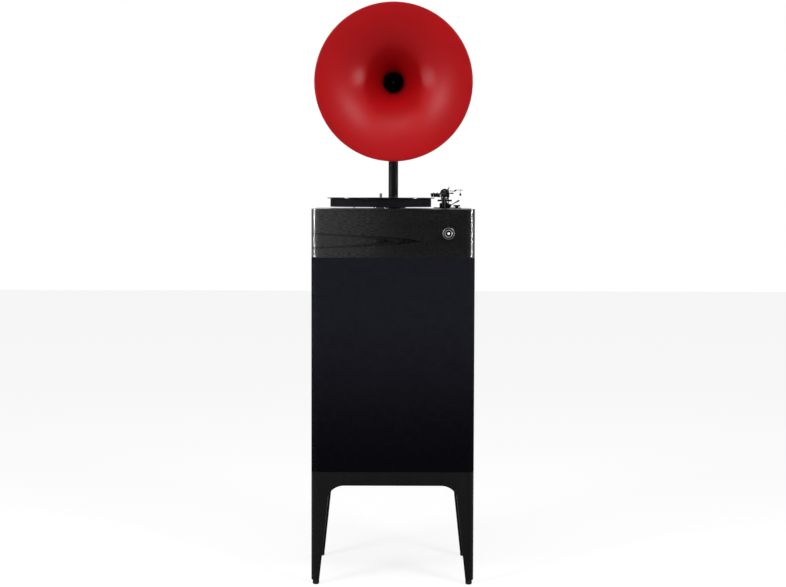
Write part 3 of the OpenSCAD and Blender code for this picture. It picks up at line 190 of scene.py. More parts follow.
def stained_oak(name, kind, dark, light, roughness, shine_level, relief):
    """Oak, stained black and oiled: the stain fills the wide rings, and open pores run along the grain.
    Pores are 0.4 mm wide and some 12 mm long. They are drawn 1.2 mm wide to show at the photograph's
    size."""
    material, tree, shader = new_material(name, Roughness=roughness, IOR=1.5, Specular_IOR_Level=shine_level)
    along = grain_vector(tree, kind)
    ring_place = add(tree, "ShaderNodeMapping", {"Vector": along, "Scale": (1.6, 26, 26)}).outputs[0]
    rings = add(tree, "ShaderNodeTexNoise", {"Vector": ring_place, "Scale": 1.0, "Detail": 6.0,
                                             "Roughness": 0.62, "Distortion": 0.9})
    pore_place = add(tree, "ShaderNodeMapping", {"Vector": along, "Scale": (80, 820, 820)}).outputs[0]
    pores = add(tree, "ShaderNodeTexNoise", {"Vector": pore_place, "Scale": 1.0, "Detail": 2.0})
    fleck = add(tree, "ShaderNodeMapRange", {"Value": pores.outputs[0], "From Min": 0.42, "From Max": 0.6})
    tone = add(tree, "ShaderNodeMapRange", {"Value": rings.outputs[0], "From Min": 0.34, "From Max": 0.68})
    board = add(tree, "ShaderNodeMix", {0: tone.outputs[0], "A": linear(dark), "B": linear(light)},
                data_type="RGBA")
    grain = add(tree, "ShaderNodeMix", {0: fleck.outputs[0], "A": linear("#0b0b0c"),
                                        "B": board.outputs["Result"]}, data_type="RGBA")
    # An open pore is a little duller than the oiled wood round it
    shine = add(tree, "ShaderNodeMapRange", {"Value": fleck.outputs[0], "To Min": roughness * 1.25,
                                             "To Max": roughness})
    depth = add(tree, "ShaderNodeMath", {0: fleck.outputs[0], 1: tone.outputs[0]}, operation="ADD")
    bump = add(tree, "ShaderNodeBump", {"Height": depth.outputs[0], "Strength": relief,
                                        "Distance": 0.6 * MM})
    colour = grain.outputs["Result"]
    if kind == "around":
        # Towards the left the veneer's colour is painted lighter, where the left lamp's light falls on the
        # front: painted light
        run = add(tree, "ShaderNodeSeparateXYZ", {0: along}).outputs["X"]
        left_painted_light = add(tree, "ShaderNodeMapRange", {"Value": run, "From Min": PLINTH_LOW.x * 2,
                                               "From Max": PLINTH_LOW.x * 0.7, "To Min": 1.0, "To Max": 0.0},
                  interpolation_type="SMOOTHSTEP")
        colour = add(tree, "ShaderNodeMix", {0: left_painted_light.outputs[0], "A": colour, "B": linear("#333334")},
                     data_type="RGBA").outputs["Result"]
        # The year rings are rows of pores, so they break up where the wood is closed
        closed = add(tree, "ShaderNodeMath", {0: fleck.outputs[0], 1: 0.85}, operation="MULTIPLY")
        rows = add(tree, "ShaderNodeMath", {0: flame(tree, along), 1: closed.outputs[0]},
                   operation="MAXIMUM").outputs[0]
        colour = add(tree, "ShaderNodeMix", {0: rows, "A": linear("#060606"), "B": colour},
                     data_type="RGBA").outputs["Result"]
        duller = add(tree, "ShaderNodeMath", {0: rows, 1: shine_level}, operation="MULTIPLY")
        tree.links.new(duller.outputs[0], shader.inputs["Specular IOR Level"])
    tree.links.new(colour, shader.inputs["Base Color"])
    tree.links.new(shine.outputs[0], shader.inputs["Roughness"])
    tree.links.new(bump.outputs[0], shader.inputs["Normal"])
    return material


def mottled(name, colour, other, roughness, spacing, bump_depth=0.2, **inputs):
    """A finish whose colour and gloss wander a little, with a grain in its surface. Spacing and depth of the
    grain are in millimetres."""
    material, tree, shader = new_material(name, **inputs)
    place = add(tree, "ShaderNodeTexCoord").outputs["Object"]
    cloud = add(tree, "ShaderNodeTexNoise", {"Vector": place, "Scale": 22.0, "Detail": 3.0})
    fine = add(tree, "ShaderNodeTexNoise", {"Vector": place, "Scale": 1 / (spacing * MM), "Detail": 2.0})
    mix = add(tree, "ShaderNodeMix", {0: cloud.outputs[0], "A": linear(colour), "B": linear(other)},
              data_type="RGBA")
    gloss = add(tree, "ShaderNodeMapRange", {"Value": cloud.outputs[0], "To Min": roughness * 0.8,
                                             "To Max": min(1.0, roughness * 1.2)})
    bump = add(tree, "ShaderNodeBump", {"Height": fine.outputs[0], "Strength": 0.25,
                                        "Distance": bump_depth * MM})
    tree.links.new(mix.outputs["Result"], shader.inputs["Base Color"])
    tree.links.new(gloss.outputs[0], shader.inputs["Roughness"])
    tree.links.new(bump.outputs[0], shader.inputs["Normal"])
    return material


def turned_metal(name, colour, roughness, spacing):
    """Bare or plated metal: its gloss varies with the tool's marks, so many millimetres apart."""
    material, tree, shader = new_material(name, Metallic=1.0, Roughness=roughness)
    shader.inputs["Base Color"].default_value = linear(colour)
    place = add(tree, "ShaderNodeTexCoord").outputs["Object"]
    marks = add(tree, "ShaderNodeTexNoise", {"Vector": place, "Scale": 1 / (spacing * MM), "Detail": 4.0})
    gloss = add(tree, "ShaderNodeMapRange", {"Value": marks.outputs[0], "To Min": roughness * 0.7,
                                             "To Max": roughness * 1.35})
    bump = add(tree, "ShaderNodeBump", {"Height": marks.outputs[0], "Strength": 0.12, "Distance": 0.1 * MM})
    tree.links.new(gloss.outputs[0], shader.inputs["Roughness"])
    tree.links.new(bump.outputs[0], shader.inputs["Normal"])
    return material


def red_lacquer(colour):
    """Satin lacquer sprayed over a smoothed bell: an even red with broad, soft highlights and a faint orange
    peel, 3 mm across."""
    material, tree, shader = new_material("satin_red_lacquer", IOR=1.45, Specular_IOR_Level=0.3)
    place = add(tree, "ShaderNodeTexCoord").outputs["Object"]
    cloud = add(tree, "ShaderNodeTexNoise", {"Vector": place, "Scale": 9.0, "Detail": 2.0})
    peel = add(tree, "ShaderNodeTexNoise", {"Vector": place, "Scale": 330.0, "Detail": 1.0})
    mix = add(tree, "ShaderNodeMix", {0: cloud.outputs[0], "A": tuple(colour) + (1.0,),
                                      "B": tuple(c * 0.9 for c in colour) + (1.0,)}, data_type="RGBA")
    gloss = add(tree, "ShaderNodeMapRange", {"Value": cloud.outputs[0], "To Min": 0.36, "To Max": 0.44})
    bump = add(tree, "ShaderNodeBump", {"Height": peel.outputs[0], "Strength": 0.06, "Distance": 0.2 * MM})
    tree.links.new(mix.outputs["Result"], shader.inputs["Base Color"])
    tree.links.new(gloss.outputs[0], shader.inputs["Roughness"])
    tree.links.new(bump.outputs[0], shader.inputs["Normal"])
    return material


def speaker_cloth(colour, thread):
    """Polyester loudspeaker cloth in plain weave over thin foam, matt and almost black.
    Threads are 0.6 mm apart; they are drawn further apart to show at the photograph's size."""
    material, tree, shader = new_material("woven_speaker_cloth", Roughness=0.95, IOR=1.45,
                                          Specular_IOR_Level=0.1)
    place = add(tree, "ShaderNodeUVMap", uv_map="cloth").outputs[0]
    # At a scale of 1 the bands of a wave texture are 2 * pi / 20 apart, or 0.314
    scale = 0.314 / thread
    waves = [add(tree, "ShaderNodeTexWave", {"Vector": place, "Scale": scale, "Distortion": 0.5,
                                             "Detail": 1.0, "Detail Scale": 2.0},
                 wave_type="BANDS", bands_direction=way).outputs["Fac"] for way in ("X", "Y")]
    over = add(tree, "ShaderNodeMath", {0: waves[0], 1: waves[1]}, operation="MULTIPLY")
    cloud = add(tree, "ShaderNodeTexNoise", {"Vector": place, "Scale": 60.0, "Detail": 4.0})
    shade = add(tree, "ShaderNodeMath", {0: over.outputs[0], 1: cloud.outputs[0]}, operation="ADD")
    depth = add(tree, "ShaderNodeMapRange", {"Value": shade.outputs[0], "From Min": 0.3, "From Max": 1.4})
    mix = add(tree, "ShaderNodeMix", {0: depth.outputs[0], "A": tuple(c * 0.55 for c in colour) + (1.0,),
                                      "B": tuple(c * 1.35 for c in colour) + (1.0,)}, data_type="RGBA")
    bump = add(tree, "ShaderNodeBump", {"Height": over.outputs[0], "Strength": 0.5, "Distance": 0.4 * MM})
    tree.links.new(mix.outputs["Result"], shader.inputs["Base Color"])
    tree.links.new(bump.outputs[0], shader.inputs["Normal"])
    return material


def carbon_weave():
    """Lacquered carbon fibre in twill, with tows 1.6 mm wide; the light they catch in turn is painted into
    their colour as a checker, a painted sheen.
    """
    material, tree, shader = new_material("lacquered_carbon_fibre", Roughness=0.3, IOR=1.5, Coat_Weight=0.8,
                                          Coat_Roughness=0.08)
    place = add(tree, "ShaderNodeTexCoord").outputs["Object"]
    turned = add(tree, "ShaderNodeMapping", {"Vector": place,
                                             "Rotation": (0, 0, math.radians(45))}).outputs[0]
    painted_tow_sheen = add(tree, "ShaderNodeTexChecker", {"Vector": turned, "Scale": 620.0,
                                                "Color1": linear("#0d0d0f"), "Color2": linear("#26262b")})
    tree.links.new(painted_tow_sheen.outputs["Color"], shader.inputs["Base Color"])
    return material


def circuit_board():
    """Green solder mask over copper tracks, which show as paler lines 1.5 mm wide."""
    material, tree, shader = new_material("solder_mask", Roughness=0.35, IOR=1.5)
    place = add(tree, "ShaderNodeTexCoord").outputs["Object"]
    tracks = add(tree, "ShaderNodeTexBrick", {"Vector": place, "Scale": 60.0, "Mortar Size": 0.05,
                                              "Color1": linear("#14432a"), "Color2": linear("#123a25"),
                                              "Mortar": linear("#2c6b44")})
    tree.links.new(tracks.outputs["Color"], shader.inputs["Base Color"])
    return material


def finishes(look):
    """Every finish on the object, by the record's slot names and those of SPECIAL_FINISHES. Grain and marks
    are spaced in millimetres."""
    return {
        # Legs and aprons: dark, with a dull sheen along their edges
        "black_stained_oak": stained_oak("black_stained_oak", "upright", "#101011", "#1a1a1b", 0.42, 0.25,
                                         0.3),
        # Plinth: silky, so that its corners mirror the lamps as lines
        "oak_veneer": stained_oak("black_oak_veneer", "around", "#0e0e0f", "#1c1c1d", 0.24, 0.5, 0.1),
        "oak_veneer_top": stained_oak("black_oak_veneer_top", "lying", "#111112", "#202021", 0.26, 0.5, 0.1),
        # Brushed-on paint over fibreboard: dull and slightly uneven
        "black_board": mottled("black_painted_board", "#161617", "#1d1d1f", 0.55, 2, IOR=1.5),
        # Raw pressed fibres: brown and quite without shine
        "bare_board": mottled("fibreboard", "#8a6b4c", "#735639", 0.85, 1.5, IOR=1.45),
        "speaker_cloth": speaker_cloth(look.cloth_colour, look.thread_gap),
        # Turned nylon glides: a waxy, even sheen
        "foot_plastic": mottled("turned_nylon", "#1c1c1d", "#232324", 0.5, 1, IOR=1.53),
        # Polished steel: sharp, bright reflections
        "plated_steel": turned_metal("polished_steel", "#c3c5c8", 0.2, 0.6),
        # Steel blackened in oil: dark, with a soft metallic edge
        "black_fastener": turned_metal("blackened_steel", "#2a2a2c", 0.42, 0.6),
        # Moulded driver frames: a fine matt texture that takes light away
        "driver_frame": mottled("moulded_driver_frame", "#040404", "#070707", 0.6, 1, IOR=1.45,
                                Specular_IOR_Level=0.15),
        # Pressed paper pulp: fibrous and dry
        "paper_cone": mottled("pressed_pulp", "#1d1d1e", "#2a2a2b", 0.9, 2, IOR=1.45),
        # Ground ferrite: grey and slightly glossy, like dense ceramic
        "ferrite": mottled("ground_ferrite", "#2c2d30", "#3a3b3e", 0.5, 1.2, IOR=1.8),
        # Moulded ABS with a fine spark texture
        "moulded_black": mottled("moulded_black_plastic", "#151516", "#1c1c1d", 0.5, 0.8, IOR=1.5),
        "circuit_board": circuit_board(),
        # Enamelled wire: warm metal under varnish
        "copper_winding": turned_metal("varnished_copper_winding", "#b06a34", 0.35, 1),
        # Gloss lacquered knob: black, with small sharp lights
        "knob_black": mottled("gloss_black_knob", "#040405", "#070708", 0.14, 1, 0.03, IOR=1.5),
        # Moulded acetal hub: satin
        "hub_plastic": mottled("moulded_hub", "#161618", "#1d1d1f", 0.5, 1, IOR=1.5),
        # Bead-blasted and anodised platter: an even, bluish black without reflections
        "platter_black": mottled("black_anodised_platter", "#15151a", "#1b1b20", 0.75, 1.2, IOR=1.5,
                                 Specular_IOR_Level=0.03),
        # Polished acrylic: mirrors the backdrop at a low angle
        "smoked_acrylic": mottled("polished_smoked_acrylic", "#0c0c0e", "#101012", 0.12, 2, 0.02, IOR=1.49,
                                  Specular_IOR_Level=0.3),
        # Ground rubber: dusty and dull
        "belt_rubber": mottled("ground_rubber", "#101010", "#181818", 0.8, 0.6, IOR=1.52),
        # Turned brass: yellow, bright along its edges
        "brass": turned_metal("turned_brass", "#c79a4b", 0.25, 0.6),
        # Anodised aluminium: satin black
        "arm_black": mottled("black_anodised_aluminium", "#060607", "#0c0c0d", 0.36, 0.6, IOR=1.5,
                             Specular_IOR_Level=0.3),
        "carbon_tube": carbon_weave(),
        # Clear anodised aluminium: a soft, pale grey metal
        "shell_aluminium": turned_metal("satin_anodised_aluminium", "#c9cacd", 0.34, 0.5),
        # Moulded cartridge body: rather glossy
        "cartridge_plastic": mottled("moulded_cartridge", "#0c0c0e", "#131316", 0.28, 0.8, IOR=1.5),
        # Black nickel over steel: dark, with clear reflections
        "weight_steel": turned_metal("black_nickel_steel", "#2b2c30", 0.3, 0.5),
        # Baked powder coat: satin, with one soft line down the pole
        "pole_enamel": mottled("satin_powder_coat", "#09090c", "#0e0e11", 0.42, 0.6, IOR=1.5,
                               Specular_IOR_Level=0.12),
        "horn_red": red_lacquer(look.horn_colour),
        # Chrome over black: grey glints on the knob's edge
        "black_chrome": turned_metal("black_chrome", "#7c7c7f", 0.36, 0.6),
        # Blasted aluminium: an even, pale grey ring
        "dial_ring": turned_metal("bead_blasted_aluminium", "#c9c9cb", 0.38, 0.6),
        # A clean white dot on the knob's centre: a painted highlight, where the chrome centre mirrors the
        # lamp
        "painted_highlight_white": mottled("white_painted_highlight", "#f4f3ef", "#efeeea", 0.2, 1, IOR=1.5),
        # Printing ink: flat grey
        "dial_print": mottled("grey_dial_print", "#8d8d90", "#7f7f82", 0.6, 1, IOR=1.5),
        # Matt anodised aluminium: reads as a black outline against the backdrop
        "matt_black": mottled("matt_black_anodising", "#0b0b0c", "#121213", 0.7, 0.6, IOR=1.45,
                              Specular_IOR_Level=0.06),
        # Soft PVC in the colours of the four leads: an even, low sheen
        "lead_white": mottled("white_pvc", "#e2e0da", "#d6d4ce", 0.4, 1, IOR=1.5),
        "lead_red": mottled("red_pvc", "#7a1216", "#6c0f13", 0.4, 1, IOR=1.5),
        "lead_green": mottled("green_pvc", "#14502a", "#114524", 0.4, 1, IOR=1.5),
        "lead_blue": mottled("blue_pvc", "#15305e", "#122a52", 0.4, 1, IOR=1.5),
        # Brushed steel: grey, without sharp reflections
        "satin_steel": turned_metal("brushed_steel", "#8f9093", 0.42, 0.6),
        # Sand-cast and painted: the throat stays black from the front
        "throat_black": mottled("matt_black_casting", "#030303", "#060606", 0.55, 1, IOR=1.45,
                                Specular_IOR_Level=0.15),
    }


# Nodes whose finish differs from the rest of their slot
SPECIAL_FINISHES = {
    "plinth_top": "oak_veneer_top", "headshell": "arm_black", "spindle": "satin_steel",
    "armboard": "matt_black", "antiskate_bracket": "matt_black", "antiskate_weight": "matt_black",
    "lift_platform": "matt_black", "cartridge": "matt_black", "speed_knob": "matt_black",
    "motor_pulley": "black_fastener", "driver_housing": "throat_black", "phase_plug": "throat_black",
    "horn_driver": "throat_black",
}
MATERIALS = {}


def finish_piece(name, bm, material, body, replaces=(), sharp=35):
    """Makes a mesh object of bm at the origin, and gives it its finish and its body."""
    mesh = bpy.data.meshes.new(name)
    bm.to_mesh(mesh)
    bm.free()
    mesh.materials.append(MATERIALS[material])
    mesh.shade_smooth()
    mesh.set_sharp_from_angle(angle=math.radians(sharp))
    piece = bpy.data.objects.new(name, mesh)
    bpy.context.scene.collection.objects.link(piece)
    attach(piece, body)
    if replaces:
        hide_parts(*replaces)
    return piece


def turn(profile, steps=96, closed=False):
    """A bmesh turned about Z from (radius, height) pairs in metres."""
    bm = bmesh.new()
    verts = [bm.verts.new((r, 0, z)) for r, z in profile]
    edges = [bm.edges.new(pair) for pair in zip(verts, verts[1:])]
    if closed:
        edges.append(bm.edges.new((verts[-1], verts[0])))
    bmesh.ops.spin(bm, geom=verts + edges, cent=(0, 0, 0), axis=(0, 0, 1), angle=math.tau, steps=steps,
                   use_merge=True, use_duplicate=False)
    bmesh.ops.remove_doubles(bm, verts=bm.verts, dist=1e-7)
    bmesh.ops.recalc_face_normals(bm, faces=bm.faces)
    return bm


def arc(centre, radius, start, end, steps):
    """Points of an arc in a profile, with its angles in degrees."""
    turns = [math.radians(start + (end - start) * i / steps) for i in range(steps + 1)]
    return [(centre[0] + radius * math.cos(a), centre[1] + radius * math.sin(a)) for a in turns]


def rod(bm, start, end, radius, sides=20):
    """Adds a rod between two points, with its edges eased, to bm."""
    start, end = Vector(start), Vector(end)
    way = end - start
    place = Matrix.Translation((start + end) / 2) @ way.to_track_quat("Z", "Y").to_matrix().to_4x4()
    made = bmesh.ops.create_cone(bm, cap_ends=True, segments=sides, radius1=radius, radius2=radius,
                                 depth=way.length, matrix=place)
    rims = [e for v in made["verts"] for e in v.link_edges if len(e.link_faces) == 2
            and any(len(f.verts) > 4 for f in e.link_faces)]
    bmesh.ops.bevel(bm, geom=list(set(rims)), offset=radius * 0.12, segments=2, profile=0.5, affect="EDGES",
                    material=-1)


def block(bm, low, high, ease):
    """Adds a box with rounded edges to bm."""
    low, high = Vector(low), Vector(high)
    made = bmesh.ops.create_cube(bm, size=1.0)
    bmesh.ops.scale(bm, vec=high - low, verts=made["verts"])
    bmesh.ops.translate(bm, vec=(low + high) / 2, verts=made["verts"])
    edges = list({e for v in made["verts"] for e in v.link_edges})
    bmesh.ops.bevel(bm, geom=edges, offset=ease, segments=3, profile=0.5, affect="EDGES", material=-1)


def put(bm, part, place):
    """Moves the bmesh part to place and adds it to bm."""
    part.transform(place)
    mesh = bpy.data.meshes.new("part")
    part.to_mesh(mesh)
    part.free()
    bm.from_mesh(mesh)
    bpy.data.meshes.remove(mesh)


def facing(point, way):
    """The place of a part that stands at point with its Z along way."""
    return Matrix.Translation(point) @ Vector(way).to_track_quat("Z", "Y").to_matrix().to_4x4()


def screw_head(radius, height):
    """A cap screw's head with its edge eased and a socket in its top."""
    ease, socket = radius * 0.18, radius * 0.5
    return turn([(0, height * 0.4), (socket, height * 0.4), (socket, height), (radius - ease, height),
                 (radius, height - ease), (radius, 0), (0, 0)], steps=24)


def band(inner, outer, low, high, ease, steps=64):
    """A flat ring with its edges eased."""
    return turn([(inner, low), (outer, low), (outer, high - ease), (outer - ease, high),
                 (inner + ease, high), (inner, high - ease)], steps=steps, closed=True)


def ribs(bm, count, radius, low, high, depth, place):
    """Adds fine ribs round a knob or collar, for the fingers."""
    for i in range(count):
        part = bmesh.new()
        block(part, (radius - depth, -depth * 0.6, low), (radius + depth, depth * 0.6, high), depth * 0.3)
        put(bm, part, place @ Matrix.Rotation(math.tau * i / count, 4, "Z"))


def arm_frame():
    """The arm's frame: X across, -Y out to the headshell, with its origin at the tilt axis."""
    return Matrix.Translation(ARM_PIVOT) @ Matrix.Rotation(-ARM_YAW, 4, "Z")


def head_frame():
    """The headshell's frame, turned inwards at the collar."""
    return arm_frame() @ Matrix.Translation((0, -COLLAR_AT, 0)) @ Matrix.Rotation(-HEAD_OFFSET, 4, "Z")


def horn_frame():
    """The horn's frame: Z runs back from the middle of its rim."""
    return Matrix.Translation(RIM_CENTRE) @ Matrix.Rotation(HORN_TILT - math.pi / 2, 4, "X")


class TurntableLook(bpy.types.PropertyGroup):
    """Sizes and colours of the finish."""
    horn_colour: bpy.props.FloatVectorProperty(
        name="Horn", description="Colour of the horn's lacquer", subtype="COLOR", size=3, min=0, max=1,
        default=linear("#b0080f")[:3])
    cloth_colour: bpy.props.FloatVectorProperty(
        name="Cloth", description="Colour of the loudspeaker cloth", subtype="COLOR", size=3, min=0, max=1,
        default=linear("#16161e")[:3])
    thread_gap: bpy.props.FloatProperty(
        name="Thread gap", description="Distance between the cloth's drawn threads", unit="LENGTH",
        default=1.8 * MM)
    lamp_power: bpy.props.FloatProperty(
        name="Lamp power", description="Power of the main soft lamp, in watts", unit="POWER", default=42)


class TURNTABLE_OT_camera(bpy.types.Operator):
    """Sets the camera where the photograph was taken"""
    bl_idname = "turntable.camera"
    bl_label = "Camera"

    def execute(self, context):
        data = bpy.data.cameras.new("photo_camera")
        data.sensor_width = SENSOR
        data.lens = CAMERA_LENS
        data.clip_end = 50
        camera = bpy.data.objects.new("photo_camera", data)
        camera.location = (0, PLINTH_LOW.y - CAMERA_BACK, CAMERA_HEIGHT)
        camera.rotation_mode = "QUATERNION"
        camera.rotation_quaternion = (Matrix.Rotation(math.pi / 2 - CAMERA_PITCH, 3, "X")
                                      @ Matrix.Rotation(CAMERA_ROLL, 3, "Z")).to_quaternion()
        context.scene.collection.objects.link(camera)
        context.scene.camera = camera
        return {"FINISHED"}


def softbox(context, name, place, aim, size, power, spread):
    """An area lamp that points at aim, with a grid that lets its light out over so many degrees."""
    data = bpy.data.lights.new(name, "AREA")
    data.shape = "RECTANGLE"
    data.size, data.size_y = size
    data.energy = power
    data.spread = math.radians(spread)
    lamp = bpy.data.objects.new(name, data)
    lamp.location = place
    lamp.rotation_mode = "QUATERNION"
    lamp.rotation_quaternion = (Vector(aim) - Vector(place)).to_track_quat("-Z", "Y")
    context.scene.collection.objects.link(lamp)


def studio_air(tree):
    """White to the camera. In reflections the backdrop behind the object is white, and the dark side of the
    studio, behind the camera, is a dim grey. Everything is lit softly from above."""
    path = add(tree, "ShaderNodeLightPath")
    way = add(tree, "ShaderNodeSeparateXYZ", {0: add(tree, "ShaderNodeTexCoord").outputs["Generated"]})
    back = add(tree, "ShaderNodeMapRange", {"Value": way.outputs["Y"], "From Min": 0.5, "From Max": 0.85,
                                            "To Min": DIM_SIDE, "To Max": 1.0})
    above = add(tree, "ShaderNodeMapRange", {"Value": way.outputs["Z"], "From Min": -0.6, "From Max": 1.0,
                                             "To Min": 0.06, "To Max": 0.4})
    mirrored = add(tree, "ShaderNodeMix", {0: path.outputs["Is Glossy Ray"], "A": above.outputs[0],
                                           "B": back.outputs[0]})
    seen = add(tree, "ShaderNodeMath", {0: path.outputs["Is Camera Ray"],
                                        1: path.outputs["Is Transmission Ray"]}, operation="MAXIMUM")
    strength = add(tree, "ShaderNodeMix", {0: seen.outputs[0], "A": mirrored.outputs[0], "B": 1.0})
    air = add(tree, "ShaderNodeBackground", {"Color": (1, 1, 1, 1), "Strength": strength.outputs[0]})
    add(tree, "ShaderNodeOutputWorld", {"Surface": air.outputs[0]})


def floor_paint():
    """White paint that glows to the camera, so that it stays white and still shows the object's shadow. In
    reflections it glows behind the object and is dim in front of it."""
    material = bpy.data.materials.new("white_studio_floor")
    material.use_nodes = True
    tree = material.node_tree
    tree.nodes.clear()
    path = add(tree, "ShaderNodeLightPath")
    paint = add(tree, "ShaderNodeBsdfDiffuse", {"Color": (0.35, 0.35, 0.35, 1)})
    place = add(tree, "ShaderNodeSeparateXYZ", {0: add(tree, "ShaderNodeTexCoord").outputs["Object"]})
    behind = add(tree, "ShaderNodeMapRange", {"Value": place.outputs["Y"], "From Min": 0.3, "From Max": 1.5,
                                              "To Min": DIM_SIDE, "To Max": FLOOR_GLOW})
    strength = add(tree, "ShaderNodeMix", {0: path.outputs["Is Glossy Ray"], "A": FLOOR_GLOW,
                                           "B": behind.outputs[0]})
    glow = add(tree, "ShaderNodeEmission", {"Color": (1, 1, 1, 1), "Strength": strength.outputs[0]})
    both = add(tree, "ShaderNodeAddShader", {0: paint.outputs[0], 1: glow.outputs[0]})
    eye = add(tree, "ShaderNodeMath", {0: path.outputs["Is Camera Ray"], 1: path.outputs["Is Glossy Ray"]},
              operation="MAXIMUM")
    mix = add(tree, "ShaderNodeMixShader", {0: eye.outputs[0], 1: paint.outputs[0], 2: both.outputs[0]})
    add(tree, "ShaderNodeOutputMaterial", {"Surface": mix.outputs[0]})
    return material


class TURNTABLE_OT_stage(bpy.types.Operator):
    """Lays the pale floor and sets the soft lamps and the world"""
    bl_idname = "turntable.stage"
    bl_label = "Stage"

    def execute(self, context):
        bm = bmesh.new()
        bmesh.ops.create_grid(bm, x_segments=1, y_segments=1, size=FLOOR_SIZE)
        mesh = bpy.data.meshes.new("studio_floor")
        bm.to_mesh(mesh)
        bm.free()
        mesh.materials.append(floor_paint())
        floor = bpy.data.objects.new("studio_floor", mesh)
        context.scene.collection.objects.link(floor)

        world = bpy.data.worlds.new("studio_air")
        context.scene.world = world
        world.use_nodes = True
        world.node_tree.nodes.clear()
        studio_air(world.node_tree)

        watts = context.scene.turntable_look.lamp_power
        for name, place, aim, size, share, spread in LAMPS:
            softbox(context, name, place, aim, size, watts * share, spread)
        context.scene.view_settings.view_transform = "Standard"
        return {"FINISHED"}


class TURNTABLE_OT_finishes(bpy.types.Operator):
    """Gives every CAD node its finish"""
    bl_idname = "turntable.finishes"
    bl_label = "Finishes"

    def execute(self, context):
        MATERIALS.update(finishes(context.scene.turntable_look))
        for part in frame["record"]["subparts"]:
            node = frame["nodes"][part["node"]]
            name = SPECIAL_FINISHES.get(part["node"], part["material_slot"])
            node.data.materials.clear()
            node.data.materials.append(MATERIALS[name])
        return {"FINISHED"}


class TURNTABLE_OT_horn(bpy.types.Operator):
    """Spins the smooth bell with its rolled rim"""
    bl_idname = "turntable.horn"
    bl_label = "Horn bell"

    def execute(self, context):
        edge = RIM_RADIUS - BEAD
        lip, seat = 4 * MM, 41 * MM
        inner = arc((edge, BELL_ARC), BELL_ARC, 180, 270, 72)
        bead = arc((edge, BEAD), BEAD, -90, 90, 12)[1:]
        outer = arc((edge, BELL_ARC), BELL_ARC - BELL_WALL, 270, 184, 60)[1:]
        foot = [(seat, BELL_ARC - lip), (seat, BELL_ARC)]
        bm = turn(inner + bead + outer + foot, steps=180, closed=True)
        bm.transform(horn_frame())
        bmesh.ops.recalc_face_normals(bm, faces=bm.faces)
        finish_piece("horn_bell_lacquered", bm, "horn_red", "root", replaces=("horn_bell",))
        return {"FINISHED"}


class TURNTABLE_OT_horn_fittings(bpy.types.Operator):
    """Adds the ring in the throat, the phase plug's screw and the screws of the pole's flange"""
    bl_idname = "turntable.horn_fittings"
    bl_label = "Horn fittings"

    def execute(self, context):
        ring_radius, ring_at, ring_wire = 25.2 * MM, BELL_ARC - 12.3 * MM, 0.8 * MM
        ring = turn(arc((ring_radius, ring_at), ring_wire, 0, 345, 23), steps=72, closed=True)
        ring.transform(horn_frame())
        bmesh.ops.recalc_face_normals(ring, faces=ring.faces)
        finish_piece("throat_ring", ring, "black_fastener", "root", sharp=60)

        plug_tip = Matrix.Translation((0, 0, BELL_ARC - 13.9 * MM)) @ Matrix.Rotation(math.pi, 4, "X")
        tip = bmesh.new()
        put(tip, screw_head(1.8 * MM, 0.7 * MM), horn_frame() @ plug_tip)
        finish_piece("phase_plug_screw", tip, "plated_steel", "root")

        flange, screw_circle = Matrix.Translation(POLE_FOOT), Matrix.Translation((28.5 * MM, 0, 0))
        screws = bmesh.new()
        for angle in (45, 135, 225, 315):
            turned = Matrix.Rotation(math.radians(angle), 4, "Z")
            put(screws, screw_head(3.6 * MM, 2.2 * MM), flange @ turned @ screw_circle)
        finish_piece("flange_screws", screws, "black_fastener", "root")
        return {"FINISHED"}


class TURNTABLE_OT_grille(bpy.types.Operator):
    """Stretches the loudspeaker cloth round the cabinet's front and sides"""
    bl_idname = "turntable.grille"
    bl_label = "Loudspeaker cloth"

    def execute(self, context):
        thickness, hem = 1.6 * MM, 0.4 * MM
        half = CABINET_HIGH.x
        front, back = CABINET_LOW.y, -CABINET_LOW.y - CORNER
        low = CABINET_LOW.z + hem
        height = CABINET_HIGH.z - CABINET_LOW.z - 2 * hem
        path = [(-half, back), (-half, (back + front + CORNER) / 2)]
        path += arc((-half + CORNER, front + CORNER), CORNER, 180, 270, 10)
        path += arc((half - CORNER, front + CORNER), CORNER, 270, 360, 10)
        path += [(half, (back + front + CORNER) / 2), (half, back)]
        bm = bmesh.new()
        layer = bm.loops.layers.uv.new("cloth")
        lengths = [0.0]
        for a, b in zip(path, path[1:]):
            lengths.append(lengths[-1] + math.dist(a, b))
        row = [bm.verts.new((x, y, low)) for x, y in path]
        edges = [bm.edges.new(pair) for pair in zip(row, row[1:])]
        made = bmesh.ops.extrude_edge_only(bm, edges=edges)
        top = [g for g in made["geom"] if isinstance(g, bmesh.types.BMVert)]
        bmesh.ops.translate(bm, vec=(0, 0, height), verts=top)
        places = {(round(v.co.x, 6), round(v.co.y, 6)): length for v, length in zip(row, lengths)}
        for face in bm.faces:
            for loop in face.loops:
                spot = loop.vert.co
                loop[layer].uv = (places[(round(spot.x, 6), round(spot.y, 6))], spot.z)
        bmesh.ops.recalc_face_normals(bm, faces=bm.faces)
        if any(f.normal.y > 0.5 for f in bm.faces):
            bmesh.ops.reverse_faces(bm, faces=bm.faces)
        cloth = finish_piece("stretched_grille_cloth", bm, "speaker_cloth", "root",
                             replaces=("grille_cloth",), sharp=80)
        wall = cloth.modifiers.new("thickness", "SOLIDIFY")
        wall.thickness = thickness
        wall.offset = -1
        return {"FINISHED"}


